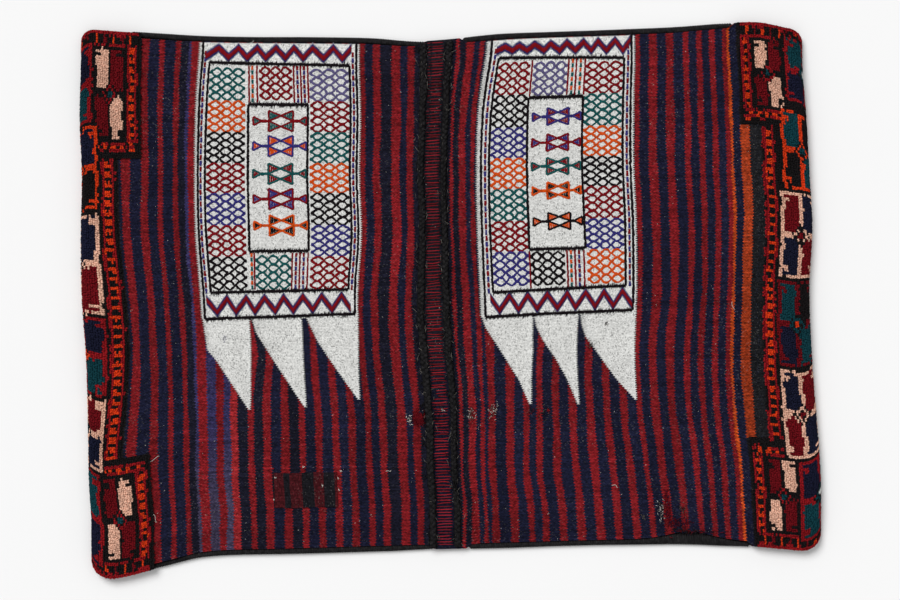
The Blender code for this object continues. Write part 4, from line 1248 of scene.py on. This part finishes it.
PANELS = {
    "left": {
        "sides": (-0.4575, -0.16),
        "foot": (-0.0425, -0.0355),
        "frame": (-0.437, -0.1776),
        "outer_line": (-0.4506, -0.1652),
        "dashes": (-0.4452, -0.1714),
        "field": (-0.362, -0.255, 0.3547, 0.0826),
        "top": (0.4318, 0.4282),
        "bottom": (0.0062, 0.0102),
        "rows": (0.424, 0.363, 0.3045, 0.246, 0.19, 0.13, 0.0724, 0.011),
        "columns": ((-0.4318, -0.37), (-0.248, -0.1822)),
        "slumps": (0.0022, 0.003),
        "cells": (
            "teal orange black red blue red black",
            "grey red teal orange black blue red",
        ),
        "upper_net": (-0.339, -0.2842, 0.364, 0.424, "thread_red"),
        "lower_net": (-0.3495, -0.288, 0.0125, 0.074, "thread_teal"),
        "upper_bars": (
            (-0.36, "plain"), (-0.3537, "warm"), (-0.3453, "plain"), (-0.2788, "plain"),
            (-0.272, "cool"), (-0.266, "plain"), (-0.26, "cool"), (-0.2532, "plain"),
        ),
        "lower_bars": (
            (-0.3585, "warm"), (-0.3536, "plain"), (-0.2842, "plain"), (-0.2772, "cool"),
            (-0.2702, "plain"), (-0.2632, "cool"), (-0.2556, "plain"),
        ),
        "motif_middle": -0.3034,
        "motif_half": (0.0218, 0.0195),
        "motifs": (
            (0.324, "thread_red", "thread_teal"), (0.2776, "thread_blue", "thread_orange"),
            (0.2262, "thread_teal", "thread_red"), (0.1792, "thread_red", "thread_blue"),
            (0.13, "thread_orange", "thread_black"),
        ),
        "darts": (0.0494, 0.0459),
        "top_zigzag": (-0.4455, -0.174, (0.4592, 0.4612), (0.4418, 0.4405), 16, 0.0135),
        "bottom_zigzag": (-0.4465, -0.173, (-0.031, -0.0265), (-0.006, -0.001), 16, 0.002),
        "flags": (
            ((-0.042, -0.4557, -0.3664), (-0.101, -0.4496, -0.3664), (-0.122, -0.433, -0.3672),
             (-0.216, -0.3765, -0.3735)),
            ((-0.039, -0.3636, -0.2669), (-0.07, -0.355, -0.2665), (-0.2126, -0.2722, -0.2692)),
            ((-0.036, -0.261, -0.1595), (-0.088, -0.2385, -0.161), (-0.1996, -0.1718, -0.1685)),
        ),
    },
    "right": {
        "sides": (0.0651, 0.3445),
        "foot": (-0.048, -0.043),
        "frame": (0.0884, 0.3255),
        "outer_line": (0.0738, 0.339),
        "dashes": (0.0812, 0.3328),
        "field": (0.1564, 0.254, 0.3577, 0.0746),
        "top": (0.4352, 0.4272),
        "bottom": (-0.003, 0.0026),
        "rows": (0.427, 0.366, 0.304, 0.2465, 0.1886, 0.1288, 0.0718, 0.008),
        "columns": ((0.0932, 0.1522), (0.2585, 0.3205)),
        "slumps": (0.0018, 0.0058),
        "cells": (
            "red black blue orange teal red blue",
            "red teal orange black red blue orange",
        ),
        "upper_net": (0.163, 0.22, 0.3625, 0.4232, "thread_grey"),
        "lower_net": (0.159, 0.215, 0.008, 0.069, "thread_black"),
        "upper_bars": (
            (0.158, "plain"), (0.2245, "plain"), (0.2318, "warm"), (0.2385, "plain"),
            (0.2465, "warm"), (0.2545, "plain"),
        ),
        "lower_bars": (
            (0.156, "plain"), (0.2216, "plain"), (0.2282, "warm"), (0.2352, "plain"),
            (0.2424, "cool"), (0.251, "plain"),
        ),
        "motif_middle": 0.2105,
        "motif_half": (0.0191, 0.016),
        "motifs": (
            (0.3212, "thread_blue", "thread_red"), (0.2727, "thread_red", "thread_blue"),
            (0.2287, "thread_teal", "thread_red"), (0.183, "thread_orange", "thread_black"),
            (0.126, "thread_black", "thread_orange"),
        ),
        "darts": (0.0452, 0.0402),
        "top_zigzag": (0.083, 0.337, (0.4556, 0.4612), (0.4484, 0.4402), 18, 0.007),
        "bottom_zigzag": (0.083, 0.338, (-0.0375, -0.034), (-0.011, -0.007), 16, 0.0),
        "flags": (
            ((-0.047, 0.066, 0.159), (-0.07, 0.073, 0.1585), (-0.113, 0.0975, 0.158),
             (-0.172, 0.129, 0.152), (-0.218, 0.1455, 0.149)),
            ((-0.046, 0.1596, 0.2409), (-0.07, 0.1645, 0.24), (-0.097, 0.1765, 0.2395),
             (-0.13, 0.1975, 0.2385), (-0.17, 0.2175, 0.238), (-0.2215, 0.235, 0.2378)),
            ((-0.044, 0.244, 0.345), (-0.0691, 0.247, 0.346), (-0.0914, 0.2545, 0.3463),
             (-0.1137, 0.2702, 0.3461), (-0.1361, 0.2848, 0.3459), (-0.1788, 0.313, 0.3455),
             (-0.203, 0.3335, 0.3452), (-0.215, 0.342, 0.345)),
        ),
    },
}
BAR_YARNS = {
    "warm": ("thread_orange", "thread_teal"),
    "cool": ("thread_red", "thread_blue"),
}


def panel_lines(name, panel, seed, material):
    """Frame, dashes, nets, bars, motifs and zigzags of one panel."""
    threads = Threads(seed)
    tops, bottoms, feet = panel["top"], panel["bottom"], panel["foot"]
    ceiling = HALF_WIDTH - 0.006

    def uprights(places, highs, lows):
        for u, high, low in zip(places, highs, lows):
            threads.line((u, high), (u, low), "thread_black", FRAME_LINE)

    uprights(panel["outer_line"], (ceiling, ceiling), feet)
    threads.ragged(*zip(panel["outer_line"], feet))
    for u, foot in zip(panel["dashes"], bottoms):
        names = ("thread_red", "thread_blue")
        threads.dashed((u, ceiling - 0.02), (u, foot - 0.002), names, DASH_LINE, SIDE_DASH)
    uprights(panel["frame"], tops, bottoms)
    threads.ragged(*zip(panel["frame"], tops))
    threads.ragged(*zip(panel["frame"], bottoms))
    field_left, field_right, field_top, field_foot = panel["field"]
    uprights((field_left, field_right), (field_top, field_top), (field_foot, field_foot))
    threads.ragged((field_left, field_top), (field_right, field_top), 1.1 * RAGGED_LINE)
    threads.ragged((field_left, field_foot), (field_right, field_foot))
    for sides, names, slump in zip(panel["columns"], panel["cells"], panel["slumps"]):
        rows = [row - slump * max(0.0, (row - SLUMP_FOOT) / SLUMP_DEPTH) for row in panel["rows"]]
        for high, low, name_of_yarn in zip(rows, rows[1:], names.split()):
            threads.net(*sides, low + NET_MARGIN, high - NET_MARGIN, "thread_" + name_of_yarn)
    threads.net(*panel["upper_net"])
    threads.net(*panel["lower_net"])
    spans = ((sum(tops) / 2 - 0.003, field_top + 0.003), (field_foot - 0.003, sum(bottoms) / 2 + 0.003))
    for bars, (v0, v1) in zip((panel["upper_bars"], panel["lower_bars"]), spans):
        for u, kind in bars:
            if kind == "plain":
                threads.line((u, v0), (u, v1), "thread_red", BAR_LINE)
            else:
                threads.dashed((u, v0), (u, v1), BAR_YARNS[kind], DASH_LINE, BAR_DASH)
    for v, edge_yarn, fill_yarn in panel["motifs"]:
        threads.motif(panel["motif_middle"], v, *panel["motif_half"], edge_yarn, fill_yarn, panel["darts"])
    threads.zigzag(*panel["top_zigzag"])
    threads.zigzag(*panel["bottom_zigzag"])
    threads.piece(name, material)


# Goat hair: side cords and the two lines of the bridge


def smooth_noise(count, spacing, rng):
    knots = rng.normal(0, 1, count // spacing + 4)
    return np.interp(np.arange(count) / spacing, np.arange(knots.size), knots)


def side_cord(name, node, sign, curve, reach, material, seed):
    """A bundle of goat hair, wrapped round and round, along one side of the bag."""
    rng = np.random.default_rng(seed)

    def moved(at):
        return at + float(drift(np.array([at / HALF_LENGTH]), np.array([float(sign)]))[0])

    low = moved((reach[0] - CORD_END_STEP) * HALF_LENGTH)
    high = moved((reach[1] + CORD_END_STEP) * HALF_LENGTH)
    count = round((high - low) / CORD_STEP) + 1
    along = np.linspace(low, high, count)
    corner = np.arange(CORD_CORNERS) * 2 * math.pi / CORD_CORNERS
    phase = ((along - low) / WRAP_PITCH)[:, None] + sign * corner / (2 * math.pi)
    slow = smooth_noise(count, 60, rng)
    bulge = 1 - 0.2 * np.abs(np.cos(math.pi * phase)) ** 3 + 0.09 * slow[:, None]
    bulge = bulge * np.minimum(1, 0.35 + np.minimum(along - low, high - along) / CORD_TAPER)[:, None]
    swell = 0.5 * CORD_SWELL * np.exp(-(((along - moved(SWELL_MIDDLE)) / SWELL_REACH) ** 2)) * (sign < 0)
    centre = sign * (HALF_WIDTH + side_curve(curve, along / HALF_LENGTH))
    centre = centre - sign * (CORD_HALF_WIDTH + swell - CORD_OUTWARD - 0.0006 * slow)
    y = centre[:, None] + (CORD_HALF_WIDTH + swell[:, None]) * bulge * np.cos(corner)
    z = np.maximum(0, CORD_HALF_HEIGHT * (1 + bulge * np.sin(corner)))
    x = np.broadcast_to(along[:, None], y.shape)
    points = np.stack([x, y, z], -1).reshape(-1, 3)
    rings = np.arange(count * CORD_CORNERS).reshape(count, CORD_CORNERS)
    turned = np.roll(rings, -1, axis=1)
    faces = np.stack([rings[:-1], turned[:-1], turned[1:], rings[1:]], -1).reshape(-1, 4)
    fans = range(1, CORD_CORNERS - 2, 2)
    caps = [rings[0][[0, k + 2, k + 1, k]] for k in fans] + [rings[-1][[0, k, k + 1, k + 2]] for k in fans]
    # Painted shade: the hair is coloured darker in the grooves between the wraps and lighter on their crests,
    # and the end caps take the groove's tone
    wrap_shade = np.r_[(0.8 + 0.5 * np.abs(np.sin(math.pi * phase[:-1]))).ravel(), np.full(len(caps), 0.8)]
    places = np.stack([x, np.broadcast_to(corner * 0.005, x.shape)], -1).reshape(-1, 2)
    surface = points, np.concatenate([faces, caps]), yarn("goat_hair") * wrap_shade[:, None], places
    make_piece(name, material, surface, node)


def braid(name, node, seed, material):
    """Chunky plait of goat hair stitched down across the bridge."""
    middle, width, gap = BRAIDS[node]
    rng = np.random.default_rng(seed)
    v = np.linspace(-BRAID_REACH, BRAID_REACH, round(2 * HALF_WIDTH / BRAID_STEP) + 1)
    slow = smooth_noise(v.size, 14, rng)
    worn = (v > gap[0]) & (v < gap[1])
    hair = yarn("goat_hair")
    parts = []
    for k in range(3):
        phase = 2 * math.pi * (v / PLAIT_PITCH + 0.12 * slow + k / 3)
        over = np.sin(2 * phase) + 1
        u = middle + 0.23 * width * np.sin(phase) + 0.0009 * slow
        girth = width * 0.5 * rng.uniform(0.88, 1.12, v.size) * (1 + 0.14 * slow)
        girth = girth * np.where(worn, 0.35, 1.0)
        # Painted shade: each strand is coloured darker where it passes under the others and lighter where it
        # lies over them, besides a random tone
        tone = (0.3 + 0.36 * over[:-1]) * rng.uniform(0.6, 1.4, v.size - 1)
        tone = tone * np.where(worn[:-1], 0.8, 1.0)
        parts.append(round_strand(u, v, girth, 0.0007 + 0.001 * over, BRAID_THICKNESS, hair * tone[:, None]))
    core = np.where(worn, 0.3, 0.85) * width
    parts.append(strand(np.full(v.size, middle), v, core, hair * 0.7, -0.0002, 0.0011))
    make_piece(name, material, joined(parts), node)


def ladder(material):
    """Single red warps on the dark bridge, each a little bent and broken."""
    threads = Threads(31)
    rng = threads.rng
    for n in range(round(HALF_WIDTH / WARP)):
        v = -HALF_WIDTH + (n + 0.5) * 2 * WARP
        if abs(v) > BRAID_REACH:
            continue
        start = LADDER[0] + rng.uniform(0.0, 0.004)
        end = LADDER[1] - rng.uniform(0.0, 0.004)
        bow = rng.normal(0, 0.0007)
        t = np.linspace(0, 1, 9)
        us = start + (end - start) * t
        vs = v + bow * np.sin(math.pi * t) + rng.normal(0, 0.0011) * (t - 0.5)
        vs = vs + rng.normal(0, 0.00012, t.size)
        widths = LADDER_LINE * np.minimum(1, 5 * np.minimum(t, 1 - t) + 0.25) * rng.uniform(0.8, 1.15)
        tone = rng.uniform(0.62, 1.6) * (1.1 + 0.22 * float(blend(0.1, 0.22, -v)))
        if abs(v - LADDER_WORN[0]) < LADDER_WORN[1]:
            us = us + rng.uniform(0, 0.012) * (1 - t)
        if v > LADDER_COLUMN_FOOT:
            gap = us[np.argmin(np.abs(us - LADDER_COLUMN))]
            widths = widths * np.where(np.abs(us - gap) < LADDER_LINE, 0.15, 1.0)
        threads.parts.append(strand(us, vs, widths, yarn("red") * tone, -0.0003, 0.0007))
    threads.piece("ladder", material)


# Fuzz, mends, stitches and stray threads


def hairs(count, centre, spread, length, thickness, names, rng, lift, upright=False):
    """Short loose fibres strewn round a place."""
    parts = []
    t = np.linspace(-0.5, 0.5, 3)
    for _ in range(count):
        u = centre[0] + rng.normal(0, spread[0])
        v = np.clip(centre[1] + rng.normal(0, spread[1]), HAIR_MARGIN - HALF_WIDTH, HALF_WIDTH - HAIR_MARGIN)
        angle = rng.normal(math.pi / 2, 0.5) if upright else rng.uniform(0, math.pi)
        reach = length * rng.uniform(0.5, 1.2)
        bend = rng.normal(0, 0.25) * reach
        us = u + math.cos(angle) * reach * t - math.sin(angle) * bend * (t * t)
        vs = v + math.sin(angle) * reach * t + math.cos(angle) * bend * (t * t)
        vs = np.clip(vs, -HALF_WIDTH + 0.003, HALF_WIDTH - 0.003)
        low = lift * rng.uniform(0.2, 1.0)
        tint = yarn(names[rng.integers(len(names))]) * rng.uniform(0.7, 1.3)
        parts.append(strand(us, vs, thickness * np.array([0.4, 1.1, 0.4]), tint, low, low + thickness))
    return parts


def braid_fuzz(material):
    """Loose goat hair along the two lines of stitches."""
    rng = np.random.default_rng(91)
    names = ("goat_hair", "goat_hair", "goat_hair", "grey_hair", "black", "black")
    parts = []
    for middle, width, _ in BRAIDS.values():
        for v in np.arange(-BRAID_REACH, BRAID_REACH, 0.0042):
            parts += hairs(4, (middle, v), (0.42 * width, 0.003), 0.012, 0.001, names, rng, 0.0042, True)
    make_piece("loose_hair", material, joined(parts), "bridge_braid_left")


LOWER_DARN = (0.3675, -0.415)
GREYS = ("grey_hair", "charcoal")
SLATES = ("slate", "slate", "grey_hair", "charcoal")
MENDS = (
    # place, reach along and across, number of fibres, their length, thickness and yarns
    ((-0.061, -0.232), (0.0054, 0.0062), 190, 0.008, 0.0013, ("blotch", "blotch", "crimson")),
    ((-0.08, -0.234), (0.0022, 0.004), 16, 0.004, 0.0012, ("lint",)),
    ((-0.016, -0.217), (0.002, 0.0018), 7, 0.0036, 0.0011, ("lint", "grey_hair")),
    ((0.0375, -0.226), (0.0042, 0.0066), 60, 0.0044, 0.0007, (*GREYS, "lint")),
    ((0.0775, -0.222), (0.0044, 0.007), 60, 0.0044, 0.0007, (*GREYS, "lint")),
    ((0.144, -0.226), (0.006, 0.004), 26, 0.0044, 0.0007, (*GREYS, "red")),
    ((0.169, -0.231), (0.0055, 0.008), 56, 0.0044, 0.0007, (*GREYS, "black")),
    ((0.18, -0.226), (0.0016, 0.002), 10, 0.0036, 0.001, ("madder",)),
    ((-0.03, -0.227), (0.012, 0.015), 60, 0.006, 0.0008, ("charcoal", "black", "dark_navy")),
    (LOWER_DARN, (0.004, 0.01), 70, 0.0056, 0.0009, ("lint", *GREYS, "navy")),
    ((0.3795, -0.411), (0.0022, 0.019), 120, 0.007, 0.0011, ("blotch", "crimson", "crimson", "navy")),
    ((0.4175, -0.457), (0.024, 0.0022), 90, 0.008, 0.0012, ("blotch", "black", "navy", "charcoal")),
    ((0.4075, -0.415), (0.004, 0.008), 34, 0.0046, 0.0008, GREYS),
    ((0.3975, -0.441), (0.012, 0.005), 90, 0.007, 0.001, ("navy", "blotch")),
    ((0.3345, -0.429), (0.0025, 0.003), 10, 0.004, 0.0008, ("grey_hair",)),
    ((-0.233, 0.459), (0.002, 0.0024), 10, 0.003, 0.0009, GREYS[::-1]),
    ((-0.416, -0.082), (0.002, 0.003), 14, 0.006, 0.0006, ("slate", "thread_grey")),
    ((0.293, -0.068), (0.0016, 0.0022), 16, 0.004, 0.0009, GREYS[::-1]),
    ((0.265, -0.106), (0.003, 0.003), 20, 0.004, 0.0008, GREYS[::-1]),
    ((0.53, 0.3), (0.005, 0.1), 90, 0.004, 0.0005, ("grey_hair", "slate", "slate")),
    ((0.573, 0.15), (0.005, 0.15), 300, 0.004, 0.0005, SLATES),
    ((0.573, -0.15), (0.005, 0.09), 190, 0.004, 0.0005, SLATES),
)
PATCH_STITCHES = (
    (-0.27807, -0.3195, "lint"), (-0.33015, -0.3381, "lint"), (-0.33573, -0.37809, "lint"),
    (-0.24459, -0.35484, "lint"), (-0.20925, -0.32787, "lint"), (-0.21483, -0.34089, "lint"),
    (-0.21483, -0.36321, "lint"), (-0.33387, -0.32043, "madder"),
)
STRAY_THREADS = (
    # place, direction and length
    (-0.55, -0.283, 0.4, 0.016), (-0.556, -0.39, 2.2, 0.018), (-0.356, 0.47, 1.2, 0.012),
    (0.525, -0.04, 1.7, 0.014), (-0.12, -0.33, 0.2, 0.01), (0.29, -0.37, 2.8, 0.012),
)
LINT_SPECKS = 1100


def mends(material):
    """Darns, the patch's stitches and a few stray threads."""
    rng = np.random.default_rng(101)
    parts = []
    for centre, spread, count, length, thickness, names in MENDS:
        parts += hairs(count, centre, spread, length, thickness, names, rng, 0.0014)
    for u, v, name in PATCH_STITCHES:
        parts += hairs(3, (u, v), (0.0006, 0.0006), 0.004, 0.0016, (name,), rng, 0.0024, True)
    t = np.linspace(-0.5, 0.5, 12)
    for u, v, angle, length in STRAY_THREADS:
        us = u + math.cos(angle) * length * t + 0.15 * length * np.sin(5 * t + u * 90)
        vs = v + math.sin(angle) * length * t + 0.12 * length * np.cos(6 * t + v * 70)
        parts.append(strand(us, np.clip(vs, -0.474, 0.474), 0.0009, yarn("lint"), 0.0006, 0.0014))
    make_piece("mends", material, joined(parts))


def lint_specks(material):
    """Bits of pale fluff lying all over the cloth, except on the white panels."""
    rng = np.random.default_rng(111)
    names = ("lint", "grey_hair", "lint", "slate")
    parts = []
    for _ in range(LINT_SPECKS):
        u, v = rng.uniform(-0.6, 0.56), rng.uniform(-0.468, 0.462)
        if v > -0.22 and any(panel["sides"][0] < u < panel["sides"][1] for panel in PANELS.values()):
            continue
        parts += hairs(1, (u, v), (0, 0), 0.0018, 0.0007, names, rng, 0.0009)
    make_piece("fluff", material, joined(parts))


def patch(material):
    """A scrap of striped cloth laid over a worn place."""
    rng = np.random.default_rng(41)
    edges = PATCH_MIDDLE[0] + PATCH_SIZE[0] * (np.array(PATCH_EDGES) - 0.5)
    names = ["patch_dark" if n % 2 == 0 else "patch_red" for n in range(edges.size - 1)]
    low = PATCH_MIDDLE[1] - PATCH_SIZE[1] / 2
    vs = np.linspace(low, low + PATCH_SIZE[1], 2 * round(PATCH_SIZE[1] / WARP) + 1)
    u, v = grid_of(edges, vs)
    places = np.stack([u, v], -1)
    u = u + wobble(edges.size, vs, 0.0005, rng) + PATCH_LEAN * (v - PATCH_MIDDLE[1])
    v = v + 0.0008 * np.sin(u * 90)
    tint = np.array([yarn(name) for name in names])[:, None, :] * rng.uniform(0.86, 1.14, (1, vs.size - 1, 1))
    outer = lay(u, v, PATCH_TOP + np.where(np.arange(vs.size) % 2 == 1, 0.0002, -0.0002))
    surface = shell(outer, lay(u, v, PATCH_TOP - PATCH_THICKNESS), tint, places)
    make_piece("patch", material, surface, "repair_patch")


woven = woven_material()
pile = pile_material()
striped_field("field_left", LEFT_PLAN, ENDS[-1]["band"] - HALF_LENGTH, BRIDGE_LEFT, 11, woven)
bridge_cloth(woven)
striped_field("field_right", RIGHT_PLAN, BRIDGE_RIGHT, HALF_LENGTH - ENDS[1]["band"], 12, woven)
pocket_face("pocket_left", -1, woven)
pocket_face("pocket_right", 1, woven)
pile_end("pile_left", -1, 21, pile)
pile_end("pile_right", 1, 22, pile)
cotton = brocade_material()
wool = thread_material()
hair = hair_material()
for number, (half, half_panel) in enumerate(PANELS.items()):
    white_panel("brocade_" + half, half_panel, 51 + number, cotton)
    panel_lines("lines_" + half, half_panel, 61 + number, wool)
for half, cord_reach in CORDS.items():
    for level, side_sign, outline in (("upper", 1, UPPER_SIDE), ("lower", -1, LOWER_SIDE)):
        place = half + "_" + level
        side_cord("cord_" + place, "side_cord_" + place, side_sign, outline, cord_reach, hair, 71)
braid("stitches_left", "bridge_braid_left", 81, hair)
braid("stitches_right", "bridge_braid_right", 82, hair)
ladder(wool)
patch(woven)
braid_fuzz(hair)
mends(wool)
lint_specks(wool)


# Stage


def placed(name, content):
    thing = bpy.data.objects.new(name, content)
    bpy.context.scene.collection.objects.link(thing)
    return thing


def stage():
    """A plain pale floor."""
    mesh = bpy.data.meshes.new("floor")
    corners = [(a * FLOOR_REACH, b * FLOOR_REACH, 0) for a, b in ((-1, -1), (1, -1), (1, 1), (-1, 1))]
    mesh.from_pydata(corners, [], [(0, 1, 2, 3)])
    floor = placed("floor", mesh)
    floor.location.z = cad_bounds[0][2] - FLOOR_BELOW
    paper = Look("paper", 1.0, 0.0)
    paper.shader.inputs["Base Color"].default_value = (FLOOR_GREY, FLOOR_GREY, FLOOR_GREY, 1)
    mesh.materials.append(paper.material)


def lights():
    """Soft light from all round, and a wide soft lamp from the upper left."""
    world = bpy.data.worlds.new("studio")
    bpy.context.scene.world = world
    world.use_nodes = True
    background = world.node_tree.nodes["Background"]
    background.inputs["Color"].default_value = (1, 1, 1, 1)
    background.inputs["Strength"].default_value = SKY_STRENGTH
    sun = bpy.data.lights.new("softbox", "SUN")
    sun.energy = LAMP_STRENGTH
    sun.angle = math.radians(LAMP_SPREAD)
    lamp = placed("softbox", sun)
    lamp.rotation_euler = Vector(LAMP_DIRECTION).to_track_quat("-Z", "Y").to_euler()


def camera():
    lens = bpy.data.cameras.new("camera")
    lens.lens = LENS
    lens.sensor_width = SENSOR
    view = placed("camera", lens)
    view.location = (*VIEW_MIDDLE, VIEW_LEVEL + LENS * VIEW_WIDTH / SENSOR)
    bpy.context.scene.camera = view


stage()
lights()
camera()
bpy.context.scene.view_settings.view_transform = "Standard"
